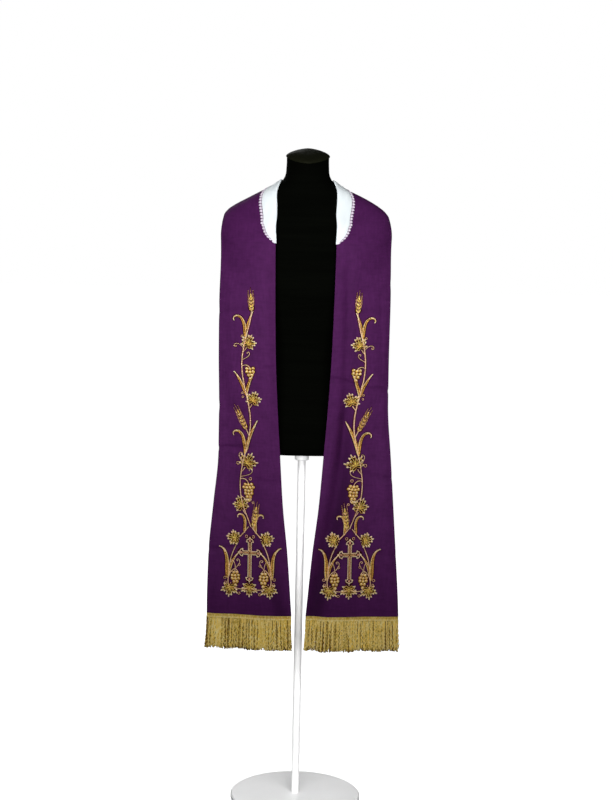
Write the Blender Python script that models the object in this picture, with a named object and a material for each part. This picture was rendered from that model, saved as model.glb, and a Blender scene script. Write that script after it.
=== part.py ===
"""A clerical stole on a limbless dress form, metres, +Z up, front toward -Y.

The origin is on the floor under the middle of the stand.  Left and right are
as seen from the front: left is -X.  Every section comes from a short table.
"""
import math

import bmesh
import bpy
import numpy as np

for old in list(bpy.data.objects):
    bpy.data.objects.remove(old, do_unlink=True)

# ---- driving dimensions -----------------------------------------------------
CLOTH_WALL = 0.0020       # stole, heading and collar wall
CLOTH_CLEAR = 0.0016      # back of the cloth to the form
NECK_ROOM = 0.0020        # the neck edge stands this much further off
FOLD_ROOM = 0.0062        # the fronts stand this much further off, for their folds
SEAM_GAP = 0.0003         # pieces sewn together stand this far apart
COLLAR_WALL = 0.0011
LACE_WALL = 0.0010
LACE_WIDTH = 0.0085
HEADING_HEIGHT = 0.0115
HEADING_WALL = 0.0032
FRINGE_WALL = 0.0036
HEM_Z = 0.5170
FRINGE_END_Z = 0.4240
POLE_RADIUS = 0.0100
BASE_RADIUS = 0.1700
BASE_HEIGHT = 0.0120
NECK_TILT = math.radians(20.0)
CAP_HEIGHT = 0.0050
PANEL_COLUMNS = 11        # points across a stole panel
TORSO_POINTS = 40         # points round the form

# ---- form: one row a section, bottom to neck ---------------------------------
# z, half width, front reach, back reach, squareness
FORM_SECTIONS = np.array([
    (0.9240, 0.1480, 0.0920, 0.0960, 2.3),
    (0.9260, 0.1560, 0.1000, 0.1040, 2.3),
    (0.9320, 0.1630, 0.1070, 0.1110, 2.3),
    (0.9450, 0.1675, 0.1110, 0.1160, 2.3),
    (0.9900, 0.1690, 0.1110, 0.1180, 2.3),
    (1.0700, 0.1530, 0.1040, 0.1040, 2.2),
    (1.1700, 0.1320, 0.0980, 0.0890, 2.2),
    (1.2700, 0.1480, 0.1120, 0.0950, 2.2),
    (1.3500, 0.1660, 0.1240, 0.1030, 2.3),
    (1.4100, 0.1850, 0.1150, 0.1060, 2.4),
    (1.4500, 0.2020, 0.1020, 0.1060, 2.3),
    (1.4780, 0.2090, 0.0930, 0.1030, 2.2),
    (1.5030, 0.2100, 0.0840, 0.0980, 2.1),
    (1.5220, 0.2060, 0.0770, 0.0930, 2.0),
    (1.5360, 0.1960, 0.0710, 0.0870, 2.0),
    (1.5480, 0.1800, 0.0660, 0.0820, 2.0),
    (1.5600, 0.1600, 0.0620, 0.0770, 2.0),
    (1.5720, 0.1380, 0.0590, 0.0730, 2.0),
    (1.5830, 0.1160, 0.0565, 0.0690, 2.0),
    (1.5940, 0.0920, 0.0545, 0.0660, 2.0),
    (1.6050, 0.0740, 0.0535, 0.0630, 2.0),
    (1.6180, 0.0610, 0.0525, 0.0590, 2.0),
    (1.6340, 0.0550, 0.0520, 0.0560, 2.0),
    (1.6600, 0.0535, 0.0520, 0.0545, 2.0),
])
NECK_BREAK_Z = 1.6180     # sections lean forward above this height
NECK_TOP_Z = 1.6740

# ---- hanging fronts: one row a height, top to hem ----------------------------
# z, inner x, outer x of the left, outer x of the right, inner y, outer y
FRONT_ROWS = np.array([
    (1.4600, 0.0755, 0.2130, 0.2130, -0.1090, -0.0350),
    (1.4000, 0.0750, 0.2135, 0.2140, -0.1190, -0.0500),
    (1.3150, 0.0735, 0.2150, 0.2150, -0.1290, -0.0650),
    (1.1800, 0.0700, 0.2140, 0.2155, -0.1320, -0.0760),
    (1.0580, 0.0637, 0.2110, 0.2160, -0.1330, -0.0850),
    (0.9300, 0.0550, 0.2105, 0.2250, -0.1330, -0.0920),
    (0.8000, 0.0455, 0.2210, 0.2340, -0.1320, -0.0980),
    (0.6800, 0.0320, 0.2310, 0.2430, -0.1310, -0.1020),
    (0.5170, 0.0184, 0.2345, 0.2550, -0.1300, -0.1050),
])

# ---- over the shoulder and round the back: one row a station -----------------
# run, inner x, y, z, outer x, y, z
YOKE_STATIONS = np.array([
    (0.00, 0.0755, -0.1090, 1.4600, 0.2130, -0.0350, 1.4600),
    (0.14, 0.0755, -0.0900, 1.5130, 0.2130, -0.0260, 1.4900),
    (0.28, 0.0740, -0.0610, 1.5550, 0.2120, -0.0140, 1.5140),
    (0.42, 0.0670, -0.0080, 1.6090, 0.2040, 0.0060, 1.5350),
    (0.56, 0.0620, 0.0330, 1.6130, 0.1880, 0.0360, 1.5300),
    (0.70, 0.0470, 0.0540, 1.6080, 0.1500, 0.0720, 1.5080),
    (0.85, 0.0250, 0.0660, 1.6020, 0.0820, 0.0980, 1.4750),
    (1.00, 0.0000, 0.0700, 1.6000, 0.0000, 0.1060, 1.4560),
])
YOKE_HUB = np.array([0.0, 0.0, 1.4200])

# ---- soft folds: one row a fold (across is 0 at the inner edge, 1 at the outer)
# side, top z, foot z, across at top, across at foot, half width, depth
FOLDS = (
    (+1, 1.470, 0.920, 0.22, 0.30, 0.085, 0.0056),
    (+1, 1.150, 0.517, 0.40, 0.06, 0.105, 0.0140),
    (+1, 1.060, 0.517, 0.74, 0.66, 0.160, 0.0050),
    (-1, 1.440, 0.620, 0.13, 0.10, 0.080, 0.0032),
    (-1, 1.080, 0.517, 0.00, 0.00, 0.110, 0.0075),
    (-1, 1.080, 0.517, 0.80, 0.66, 0.150, 0.0055),
)

# ---- collar outline: width of the white band along the neck edge -------------
# height on the front, width
COLLAR_FRONT = np.array([
    (1.4580, 0.0020), (1.4640, 0.0070), (1.4760, 0.0180), (1.4910, 0.0260),
    (1.5120, 0.0310), (1.5300, 0.0325), (1.5600, 0.0335),
])
COLLAR_BACK_WIDTH = 0.0360


def pchip(xs, ys, x):
    """Smooth curve through a table without overshoot; ys may have columns."""
    xs, ys = np.asarray(xs, float), np.asarray(ys, float)
    if xs[0] > xs[-1]:
        xs, ys = xs[::-1], ys[::-1]
    flat = ys.ndim == 1
    ys = ys[:, None] if flat else ys
    h = np.diff(xs)[:, None]
    slope = np.diff(ys, axis=0) / h
    m = np.zeros_like(ys)
    m[0], m[-1] = slope[0], slope[-1]
    both = slope[:-1] * slope[1:] > 0
    w1, w2 = 2 * h[1:] + h[:-1], h[1:] + 2 * h[:-1]
    safe_a = np.where(both, slope[:-1], 1.0)
    safe_b = np.where(both, slope[1:], 1.0)
    m[1:-1] = np.where(both, (w1 + w2) / (w1 / safe_a + w2 / safe_b), 0.0)
    x = np.clip(np.asarray(x, float), xs[0], xs[-1])
    i = np.clip(np.searchsorted(xs, x) - 1, 0, len(xs) - 2)
    t = ((x - xs[i]) / h[i, 0])[..., None]
    a, b, ma, mb, hh = ys[i], ys[i + 1], m[i], m[i + 1], h[i]
    out = ((2 * t ** 3 - 3 * t ** 2 + 1) * a + (t ** 3 - 2 * t ** 2 + t) * hh * ma
           + (3 * t ** 2 - 2 * t ** 3) * b + (t ** 3 - t ** 2) * hh * mb)
    return out[..., 0] if flat else out


def smoothstep(a, b, x):
    t = np.clip((np.asarray(x, float) - a) / (b - a), 0.0, 1.0)
    return t * t * (3.0 - 2.0 * t)


def smooth_max(a, b, k):
    return 0.5 * (a + b + np.sqrt((a - b) ** 2 + k * k))


def form_inside(p):
    """Below 1 inside the form, 1 on its skin."""
    rows = pchip(FORM_SECTIONS[:, 0], FORM_SECTIONS[:, 1:], p[..., 2])
    half, front, back, power = np.moveaxis(rows, -1, 0)
    reach = np.where(p[..., 1] < 0, front, back)
    value = (np.abs(p[..., 0]) / half) ** power + (np.abs(p[..., 1]) / reach) ** power
    return np.where(p[..., 2] < FORM_SECTIONS[0, 0], 9.0, value)


def form_reach(start, direction):
    """Distance from start along direction to the skin of the form."""
    low = np.zeros(start.shape[:-1])
    high = np.full(start.shape[:-1], 0.40)
    inside = form_inside(start) < 1.0
    for _ in range(36):
        mid = 0.5 * (low + high)
        hit = form_inside(start + direction * mid[..., None]) < 1.0
        low, high = np.where(hit, mid, low), np.where(hit, high, mid)
    return np.where(inside, low, 0.0)


def panel_points(side, run, across, clear):
    """Middle surface of a stole half.

    run is below 0 on the hanging front (-1 at the hem) and goes to 1 at the
    middle of the back; across is 0 at the neck edge and 1 at the outer edge.
    """
    run, across = np.broadcast_arrays(np.asarray(run, float), np.asarray(across, float))
    top = FRONT_ROWS[0, 0]
    z = np.where(run < 0, top + run * (top - HEM_Z), top)
    front = pchip(FRONT_ROWS[:, 0], FRONT_ROWS[:, 1:], z)
    outer_x = front[..., 1] if side < 0 else front[..., 2]
    hang = np.stack([
        front[..., 0] + (outer_x - front[..., 0]) * across,
        front[..., 3] + (front[..., 4] - front[..., 3]) * across ** 1.6,
        z], axis=-1)
    yoke = pchip(YOKE_STATIONS[:, 0], YOKE_STATIONS[:, 1:], np.maximum(run, 0.0))
    over = yoke[..., 0:3] + (yoke[..., 3:6] - yoke[..., 0:3]) * across[..., None]
    over[..., 1] += (hang[..., 1] - (front[..., 3] + (front[..., 4] - front[..., 3]) * across)) \
        * (1.0 - smoothstep(0.0, 0.3, run))
    point = np.where((run < 0)[..., None], hang, over)
    turn = smoothstep(-0.10, 0.16, run)[..., None]
    hub = (point * np.array([1.0, 0.0, 1.0])) * (1.0 - turn) + YOKE_HUB * turn
    away = point - hub
    reach = np.linalg.norm(away, axis=-1)
    away = away / reach[..., None]
    skin = form_reach(hub, away) + clear + FOLD_ROOM * (1.0 - smoothstep(-0.05, 0.34, run))
    skin = skin + NECK_ROOM * np.clip(1.0 - across, 0.0, 1.0) ** 4 * smoothstep(0.15, 0.35, run)
    free = 1.0 - smoothstep(0.05, 0.36, run)
    point = hub + away * (skin + (smooth_max(reach, skin, 0.008) - skin) * free)[..., None]
    point[..., 0] *= side
    return point


def grid_normals(points, side):
    along = np.gradient(points, axis=0)
    across = np.gradient(points, axis=1)
    normal = np.cross(across, along) * side
    return normal / np.linalg.norm(normal, axis=-1, keepdims=True)


def fold_offset(side, run, across):
    """How far the soft folds draw the cloth in."""
    z = FRONT_ROWS[0, 0] + np.minimum(run, 0.0) * (FRONT_ROWS[0, 0] - HEM_Z)
    total = np.zeros(np.broadcast(run, across).shape)
    for which, top, foot, a_top, a_foot, half, depth in FOLDS:
        if which != side:
            continue
        t = np.clip((top - z) / (top - foot), 0.0, 1.0)
        line = a_top + (a_foot - a_top) * t
        ends = smoothstep(top + 0.02, top - 0.16, z) * smoothstep(foot - 0.14, foot + 0.08, z)
        total = total + depth * ends * np.exp(-((across - line) / half) ** 2)
    return total


def cloth_surface(side, run, across, lift=0.0):
    """Outer face of a stole half, folds in, moved out by lift."""
    clear = CLOTH_CLEAR + 0.5 * CLOTH_WALL
    middle = panel_points(side, run, across, clear)
    normal = grid_normals(middle, side)
    draw = fold_offset(side, run, across)
    return middle + normal * (0.5 * CLOTH_WALL + lift - draw)[..., None], normal


def build(name, verts, faces, material, smooth=True):
    """One closed named object."""
    mesh = bpy.data.meshes.new(name)
    bm = bmesh.new()
    made = [bm.verts.new(tuple(map(float, v))) for v in verts]
    for face in faces:
        bm.faces.new([made[i] for i in face])
    bmesh.ops.remove_doubles(bm, verts=bm.verts[:], dist=1e-6)
    bmesh.ops.recalc_face_normals(bm, faces=bm.faces[:])
    bm.normal_update()
    if bm.calc_volume(signed=True) < 0:
        bmesh.ops.reverse_faces(bm, faces=bm.faces[:])
    for face in bm.faces:
        face.smooth = smooth
    bm.to_mesh(mesh)
    bm.free()
    mesh.materials.append(material)
    obj = bpy.data.objects.new(name, mesh)
    bpy.context.scene.collection.objects.link(obj)
    return obj


def wall_solid(name, outer, inner, material):
    """Closed wall between two grids of the same size."""
    rows, cols = outer.shape[:2]
    verts = np.concatenate([outer.reshape(-1, 3), inner.reshape(-1, 3)])
    n = rows * cols
    faces = []
    for i in range(rows - 1):
        for j in range(cols - 1):
            a, b, c, d = i * cols + j, i * cols + j + 1, (i + 1) * cols + j + 1, (i + 1) * cols + j
            faces.append((a, b, c, d))
            faces.append((n + d, n + c, n + b, n + a))
    rim = [(0, j) for j in range(cols)] + [(i, cols - 1) for i in range(1, rows)]
    rim += [(rows - 1, j) for j in range(cols - 2, -1, -1)] + [(i, 0) for i in range(rows - 2, 0, -1)]
    ids = [i * cols + j for i, j in rim]
    for k, a in enumerate(ids):
        b = ids[(k + 1) % len(ids)]
        faces.append((b, a, n + a, n + b))
    return build(name, verts, faces, material)


def ring_solid(name, rings, material, smooth=True):
    """Closed stack of rings with the same number of points."""
    count = len(rings[0])
    verts = [p for ring in rings for p in ring]
    faces = []
    for i in range(len(rings) - 1):
        for j in range(count):
            k = (j + 1) % count
            faces.append((i * count + j, i * count + k, (i + 1) * count + k, (i + 1) * count + j))
    for i, ring in ((0, rings[0]), (len(rings) - 1, rings[-1])):
        verts.append(np.mean(np.asarray(ring), axis=0))
        mid = len(verts) - 1
        for j in range(count):
            k = (j + 1) % count
            faces.append((i * count + j, i * count + k, mid) if i else
                         (i * count + k, i * count + j, mid))
    return build(name, verts, faces, material, smooth)


def paint(name, color, roughness, metallic=0.0):
    material = bpy.data.materials.new(name)
    material.use_nodes = True
    node = material.node_tree.nodes["Principled BSDF"]
    node.inputs["Base Color"].default_value = (*color, 1.0)
    node.inputs["Roughness"].default_value = roughness
    node.inputs["Metallic"].default_value = metallic
    return material


purple = paint("purple_cloth", (0.082, 0.018, 0.095), 0.85)
white = paint("white_linen", (0.86, 0.87, 0.88), 0.80)
lilac = paint("lilac_lace", (0.62, 0.50, 0.66), 0.80)
gold = paint("gold_braid", (0.30, 0.19, 0.06), 0.55, 0.30)
black = paint("black_jersey", (0.006, 0.006, 0.006), 0.75)
satin = paint("black_cap", (0.012, 0.012, 0.010), 0.40)
lacquer = paint("white_lacquer", (0.80, 0.80, 0.79), 0.45)


# ---- form and its neck cap ----------------------------------------------------
def form_ring(z, grow=0.0):
    """A section of the form; above the neck break it leans forward."""
    lean = NECK_TILT * smoothstep(NECK_BREAK_Z, NECK_TOP_Z - 0.008, z)
    half, front, back, power = pchip(FORM_SECTIONS[:, 0], FORM_SECTIONS[:, 1:], z)
    points = []
    for k in range(TORSO_POINTS):
        t = 2 * math.pi * k / TORSO_POINTS
        c, s = math.cos(t), math.sin(t)
        x = (half + grow) * math.copysign(abs(c) ** (2 / power), c)
        y = ((back if s > 0 else front) + grow) * math.copysign(abs(s) ** (2 / power), s)
        points.append((x, y * math.cos(lean), z + y * math.sin(lean)))
    return points


heights = sorted(set(FORM_SECTIONS[:-1, 0]) | {0.968, 1.030, 1.110, 1.220, 1.310, 1.380,
                                               1.430, 1.464, 1.491, 1.513, 1.529, 1.542,
                                               1.577, 1.588, 1.599, 1.611, 1.626, 1.645,
                                               NECK_TOP_Z})
ring_solid("form_torso", [form_ring(z) for z in heights], black)

lean = NECK_TILT
up = np.array([0.0, -math.sin(lean), math.cos(lean)])
rim = np.array(form_ring(NECK_TOP_Z))
centre = np.mean(rim, axis=0)
cap_rings = [centre + (rim - centre) * scale + up * lift for scale, lift in (
    (0.985, SEAM_GAP), (1.000, SEAM_GAP + 0.0010), (1.000, SEAM_GAP + 0.0030),
    (0.975, SEAM_GAP + 0.0045), (0.900, SEAM_GAP + CAP_HEIGHT), (0.550, SEAM_GAP + 0.0062))]
ring_solid("form_neck_cap", [list(map(tuple, ring)) for ring in cap_rings], satin)


# ---- stand ---------------------------------------------------------------------
def turned(name, profile, material, points=48):
    """A turned solid from (radius, z) rows, bottom to top."""
    rings = [[(r * math.cos(2 * math.pi * k / points), r * math.sin(2 * math.pi * k / points), z)
              for k in range(points)] for r, z in profile]
    return ring_solid(name, rings, material)


underside = FORM_SECTIONS[0, 0]
turned("stand_base", [(BASE_RADIUS - 0.001, 0.0), (BASE_RADIUS, 0.001),
                      (BASE_RADIUS, BASE_HEIGHT - 0.003), (BASE_RADIUS - 0.003, BASE_HEIGHT),
                      (0.030, BASE_HEIGHT)], lacquer, 64)
turned("stand_pole", [(POLE_RADIUS, BASE_HEIGHT + SEAM_GAP),
                      (POLE_RADIUS, underside - 0.024 - SEAM_GAP)], lacquer, 32)
turned("stand_socket", [(0.015, underside - 0.024), (0.018, underside - 0.022),
                        (0.018, underside - 0.010), (0.036, underside - 0.004),
                        (0.036, underside - SEAM_GAP)], lacquer, 32)

# ---- stole halves, collar, heading and fringe ----------------------------------
TIP_RUN = (COLLAR_FRONT[0, 0] - FRONT_ROWS[0, 0]) / (FRONT_ROWS[0, 0] - HEM_Z)
FRONT_RUN = np.concatenate([np.linspace(-1.0, -0.04, 27), [-0.02, TIP_RUN]])
YOKE_RUN = np.concatenate([[0.02, 0.045], np.linspace(0.07, 1.0, 26)])
RUN = np.concatenate([FRONT_RUN, YOKE_RUN])
ACROSS = np.linspace(0.0, 1.0, PANEL_COLUMNS)


def split_middle(points, side, gap):
    """Stop a half short of the middle plane."""
    points[..., 0] = side * np.maximum(points[..., 0] * side, 0.5 * gap)
    return points


def between_columns(grid, across):
    """Points of a stole grid between its columns, one across value a row and column."""
    place = np.clip(across, 0.0, 1.0) * (PANEL_COLUMNS - 1)
    low = np.minimum(place.astype(int), PANEL_COLUMNS - 2)
    part = (place - low)[..., None]
    row = np.arange(len(grid))[:, None]
    return grid[row, low] * (1.0 - part) + grid[row, low + 1] * part


halves = {}
for side, word in ((-1, "left"), (1, "right")):
    grid_run, grid_across = np.meshgrid(RUN, ACROSS, indexing="ij")
    outer, normal = cloth_surface(side, grid_run, grid_across)
    inner = outer - normal * CLOTH_WALL
    outer = split_middle(outer, side, SEAM_GAP)
    inner = split_middle(inner, side, SEAM_GAP)
    halves[side] = (outer, normal)
    wall_solid("stole_" + word, outer, inner, purple)

    middle = 0.5 * (outer[0] + inner[0])
    out = normal[0] * np.array([1.0, 1.0, 0.0])

    def band(name, z_top, z_foot, wall, flare, rows=2):
        """A straight hanging band under the hem."""
        grids = []
        for face in (0.5, -0.5):
            grid = []
            for k in range(rows):
                t = k / (rows - 1)
                line = middle.copy()
                line[:, 0] += (line[:, 0] - line[:, 0].mean()) * flare * t
                line += out * wall * face
                line[:, 2] = z_top + (z_foot - z_top) * t
                grid.append(line)
            grids.append(np.array(grid))
        wall_solid(name, grids[0], grids[1], gold)

    heading_foot = HEM_Z - SEAM_GAP - HEADING_HEIGHT
    band("fringe_heading_" + word, HEM_Z - SEAM_GAP, heading_foot, HEADING_WALL, 0.0)
    band("fringe_" + word, heading_foot - SEAM_GAP, FRINGE_END_Z, FRINGE_WALL, 0.012, 5)


def collar_width(z, run):
    """Width of the white band at a height on the front, or past the shoulder."""
    if run > 0.12:
        return float(np.interp(run, (0.12, 0.42, 1.0), (0.0325, 0.0345, COLLAR_BACK_WIDTH)))
    return float(pchip(COLLAR_FRONT[:, 0], COLLAR_FRONT[:, 1], z))


def neck_strip(name, start, width, wall, material, columns, gap):
    """A strip laid on both halves round the neck; start and width are across, in metres."""
    faces = {}
    first = int(np.argmin(np.abs(RUN - TIP_RUN)))
    for side in (-1, 1):
        surface, normal = (part[first:] for part in halves[side])
        length = np.linalg.norm(np.diff(surface, axis=1), axis=-1).sum(axis=1)
        across = np.zeros((len(surface), columns))
        for i, run in enumerate(RUN[first:]):
            a = start(surface[i, 0, 2], run)
            across[i] = np.linspace(a, a + width(surface[i, 0, 2], run), columns) / length[i]
        low, up = between_columns(surface, across), between_columns(normal, across)
        low[-1, :, 0], up[-1, :, 0] = 0.0, 0.0
        faces[side] = (low + up * gap, low + up * (gap + wall))
    low, high = (np.concatenate([faces[-1][k][:-1], faces[1][k][::-1]]) for k in (0, 1))
    return wall_solid(name, high, low, material)


neck_strip("collar", lambda z, r: 0.0, collar_width, COLLAR_WALL, white, 6, 0.0006)
neck_strip("collar_lace", lambda z, r: collar_width(z, r) + SEAM_GAP,
           lambda z, r: LACE_WIDTH, LACE_WALL, lilac, 3, 0.0006)
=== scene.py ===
"""Looks for a clerical stole laid over a limbless dress form.

Units are metres, +Z is up and the front faces -Y.  Left and right are as seen
from the front, as in the frame.  The cloth is laid again from the same named
sections as the frame's solids, finer and with its creases.  The needlework
grows by rules in a flat plan (distance out from the middle, height up) and is
then laid on the cloth.
"""

import logging  # noqa: E402
import math  # noqa: E402
from dataclasses import dataclass, field  # noqa: E402
from enum import Enum  # noqa: E402
from typing import Any, Callable, Optional, Sequence  # noqa: E402

import bpy  # noqa: E402
import numpy as np  # noqa: E402
from mathutils import Matrix, Vector  # noqa: E402

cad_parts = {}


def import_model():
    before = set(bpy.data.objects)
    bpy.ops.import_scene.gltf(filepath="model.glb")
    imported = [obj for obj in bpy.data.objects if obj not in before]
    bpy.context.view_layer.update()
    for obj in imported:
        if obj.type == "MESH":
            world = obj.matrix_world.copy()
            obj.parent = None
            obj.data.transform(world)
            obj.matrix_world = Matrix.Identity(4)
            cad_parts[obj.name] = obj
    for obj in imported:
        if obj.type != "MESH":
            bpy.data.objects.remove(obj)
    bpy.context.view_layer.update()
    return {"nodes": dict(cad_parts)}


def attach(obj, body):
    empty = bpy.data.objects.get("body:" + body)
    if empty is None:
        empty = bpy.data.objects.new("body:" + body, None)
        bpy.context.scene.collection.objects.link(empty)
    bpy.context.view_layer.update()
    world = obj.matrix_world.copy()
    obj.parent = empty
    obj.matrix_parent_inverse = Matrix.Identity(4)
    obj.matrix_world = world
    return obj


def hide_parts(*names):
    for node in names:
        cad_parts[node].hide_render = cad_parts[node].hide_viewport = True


LOG = logging.getLogger("stole")
Grid = np.ndarray


# ---- curves and numbers -----------------------------------------------------------
def ease(low: float, high: float, value: Any) -> Grid:
    """Smooth step from 0 at low to 1 at high."""
    t = np.clip((np.asarray(value, float) - low) / (high - low), 0.0, 1.0)
    return t * t * (3.0 - 2.0 * t)


def soft_max(a: Grid, b: Grid, width: float) -> Grid:
    """Larger of two values with a rounded change-over."""
    return 0.5 * (a + b + np.sqrt((a - b) ** 2 + width * width))


def through(xs: Any, ys: Any, at: Any) -> Grid:
    """Smooth curve through a table, with no overshoot.

    Args:
        xs: The table's places, rising or falling.
        ys: A value, or a row of values, for each place.
        at: Places to read.

    Returns:
        The values there, with the same trailing columns as ys.
    """
    xs, ys = np.asarray(xs, float), np.asarray(ys, float)
    if xs[0] > xs[-1]:
        xs, ys = xs[::-1], ys[::-1]
    flat = ys.ndim == 1
    ys = ys[:, None] if flat else ys
    step = np.diff(xs)[:, None]
    slope = np.diff(ys, axis=0) / step
    lean = np.zeros_like(ys)
    lean[0], lean[-1] = slope[0], slope[-1]
    same = slope[:-1] * slope[1:] > 0
    w1, w2 = 2 * step[1:] + step[:-1], step[1:] + 2 * step[:-1]
    first, second = np.where(same, slope[:-1], 1.0), np.where(same, slope[1:], 1.0)
    lean[1:-1] = np.where(same, (w1 + w2) / (w1 / first + w2 / second), 0.0)
    at = np.clip(np.asarray(at, float), xs[0], xs[-1])
    i = np.clip(np.searchsorted(xs, at) - 1, 0, len(xs) - 2)
    t = ((at - xs[i]) / step[i, 0])[..., None]
    out = ((2 * t ** 3 - 3 * t ** 2 + 1) * ys[i] + (t ** 3 - 2 * t ** 2 + t) * step[i] * lean[i]
           + (3 * t ** 2 - 2 * t ** 3) * ys[i + 1] + (t ** 3 - t ** 2) * step[i] * lean[i + 1])
    return out[..., 0] if flat else out


def spline(points: Sequence[Sequence[float]], spacing: float) -> Grid:
    """Round a short list of flat points into an evenly spaced path.

    Args:
        points: Two or more points in the plan, in metres.
        spacing: Distance between the points of the path.

    Returns:
        The path, one row a point.
    """
    p = np.asarray(points, float)
    if len(p) == 2:
        dense = p[0] + (p[1] - p[0]) * np.linspace(0, 1, 24)[:, None]
    else:
        ends = np.vstack([2 * p[0] - p[1], p, 2 * p[-1] - p[-2]])
        parts = []
        for a, b, c, d in zip(ends[:-3], ends[1:-2], ends[2:-1], ends[3:]):
            t = np.linspace(0, 1, 14, endpoint=False)[:, None]
            parts.append(0.5 * (2 * b + (c - a) * t + (2 * a - 5 * b + 4 * c - d) * t ** 2
                                + (3 * b - a - 3 * c + d) * t ** 3))
        dense = np.vstack(parts + [p[-1:]])
    run = np.concatenate([[0.0], np.cumsum(np.linalg.norm(np.diff(dense, axis=0), axis=1))])
    count = max(3, int(round(run[-1] / spacing)) + 1)
    even = np.linspace(0, run[-1], count)
    return np.stack([np.interp(even, run, dense[:, 0]), np.interp(even, run, dense[:, 1])], axis=1)


# ---- shader bench -------------------------------------------------------------------
class Wire:
    """A node's output that can be written into a formula."""

    def __init__(self, bench: "Bench", socket: bpy.types.NodeSocket) -> None:
        """Hold the socket and the bench it belongs to."""
        self.bench = bench
        self.socket = socket

    def _maths(self, operation: str, a: Any, b: Any) -> "Wire":
        """Add one Math node for a formula's step."""
        return self.bench.node("ShaderNodeMath", {"operation": operation}, {0: a, 1: b})

    def __add__(self, other: Any) -> "Wire":
        """self + other."""
        return self._maths("ADD", self, other)

    def __radd__(self, other: Any) -> "Wire":
        """other + self."""
        return self._maths("ADD", other, self)

    def __sub__(self, other: Any) -> "Wire":
        """self - other."""
        return self._maths("SUBTRACT", self, other)

    def __rsub__(self, other: Any) -> "Wire":
        """other - self."""
        return self._maths("SUBTRACT", other, self)

    def __mul__(self, other: Any) -> "Wire":
        """self * other."""
        return self._maths("MULTIPLY", self, other)

    def __rmul__(self, other: Any) -> "Wire":
        """other * self."""
        return self._maths("MULTIPLY", other, self)

    def __pow__(self, other: Any) -> "Wire":
        """self to the power other."""
        return self._maths("POWER", self, other)

    def wave(self) -> "Wire":
        """Sine of the value, brought to 0..1."""
        return self._maths("SINE", self, 0.0) * 0.5 + 0.5


class Bench:
    """One material and the nodes that make it."""

    def __init__(self, name: str) -> None:
        """Start a material with only its shader and output."""
        self.material = bpy.data.materials.new(name)
        self.material.use_nodes = True
        self.tree = self.material.node_tree
        self.tree.nodes.clear()
        self.shader = self.tree.nodes.new("ShaderNodeBsdfPrincipled")
        end = self.tree.nodes.new("ShaderNodeOutputMaterial")
        self.tree.links.new(self.shader.outputs[0], end.inputs[0])

    def node(self, kind: str, settings: Optional[dict[str, Any]] = None,
             inputs: Optional[dict[Any, Any]] = None, output: Any = 0) -> Wire:
        """Add any node.

        Args:
            kind: The node's type.
            settings: Its settings, set first; "stops" are a ramp's stops.
            inputs: Values or wires for its sockets, by name or number.
            output: Which output to give back.

        Returns:
            A wire from that output.
        """
        made = self.tree.nodes.new(kind)
        for key, value in (settings or {}).items():
            if key == "stops":
                while len(made.color_ramp.elements) < len(value):
                    made.color_ramp.elements.new(0.5)
                for stop, (place, color) in zip(made.color_ramp.elements, value):
                    stop.position, stop.color = place, (*color, 1.0)
            else:
                setattr(made, key, value)
        for key, value in (inputs or {}).items():
            self.feed(made.inputs[key], value)
        return Wire(self, made.outputs[output])

    def feed(self, socket: bpy.types.NodeSocket, value: Any) -> None:
        """Link a wire to a socket, or set a constant on it."""
        if isinstance(value, Wire):
            self.tree.links.new(value.socket, socket)
        elif isinstance(value, (tuple, list)) and len(value) == 3 and socket.type == "RGBA":
            socket.default_value = (*value, 1.0)
        else:
            socket.default_value = value

    def blend(self, a: Any, b: Any, factor: Any, how: str = "MIX") -> Wire:
        """Mix two colours."""
        return self.node("ShaderNodeMix", {"data_type": "RGBA", "blend_type": how},
                         {0: factor, 6: a, 7: b}, 2)

    def cloth_place(self) -> Wire:
        """The piece's own flat cloth coordinates, in metres."""
        return self.node("ShaderNodeUVMap", {"uv_map": "cloth"})

    def place(self) -> Wire:
        """Place on the piece, in metres."""
        return self.node("ShaderNodeTexCoord", output="Object")

    def parts(self, vector: Wire) -> tuple[Wire, Wire, Wire]:
        """Split a vector into its three numbers."""
        made = self.tree.nodes.new("ShaderNodeSeparateXYZ")
        self.tree.links.new(vector.socket, made.inputs[0])
        return tuple(Wire(self, made.outputs[i]) for i in range(3))

    def noise(self, place: Any, scale: float, detail: float = 2.0, rough: float = 0.5) -> Wire:
        """Soft noise, 0..1."""
        return self.node("ShaderNodeTexNoise", {"noise_dimensions": "3D"},
                         {"Vector": place, "Scale": scale, "Detail": detail, "Roughness": rough})

    def stretch(self, place: Wire, scale: tuple[float, float, float]) -> Wire:
        """Scale a place differently along each axis."""
        return self.node("ShaderNodeVectorMath", {"operation": "MULTIPLY"}, {0: place, 1: scale})

    def attribute(self, name: str) -> Wire:
        """A number kept on the piece's points."""
        return self.node("ShaderNodeAttribute", {"attribute_name": name}, output="Fac")

    def finish(self, bump: Optional[Wire] = None, bump_height: float = 0.0,
               **sockets: Any) -> bpy.types.Material:
        """Dress the shader and give back the material.

        Args:
            bump: Height that feeds the Bump node, if any.
            bump_height: Its real height, in metres.
            **sockets: Values or wires by socket name, with _ for a space.

        Returns:
            The finished material.
        """
        for key, value in sockets.items():
            self.feed(self.shader.inputs[key.replace("_", " ")], value)
        if bump is not None:
            normal = self.node("ShaderNodeBump", None,
                               {"Strength": 1.0, "Distance": bump_height, "Height": bump})
            self.feed(self.shader.inputs["Normal"], normal)
        return self.material


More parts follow.
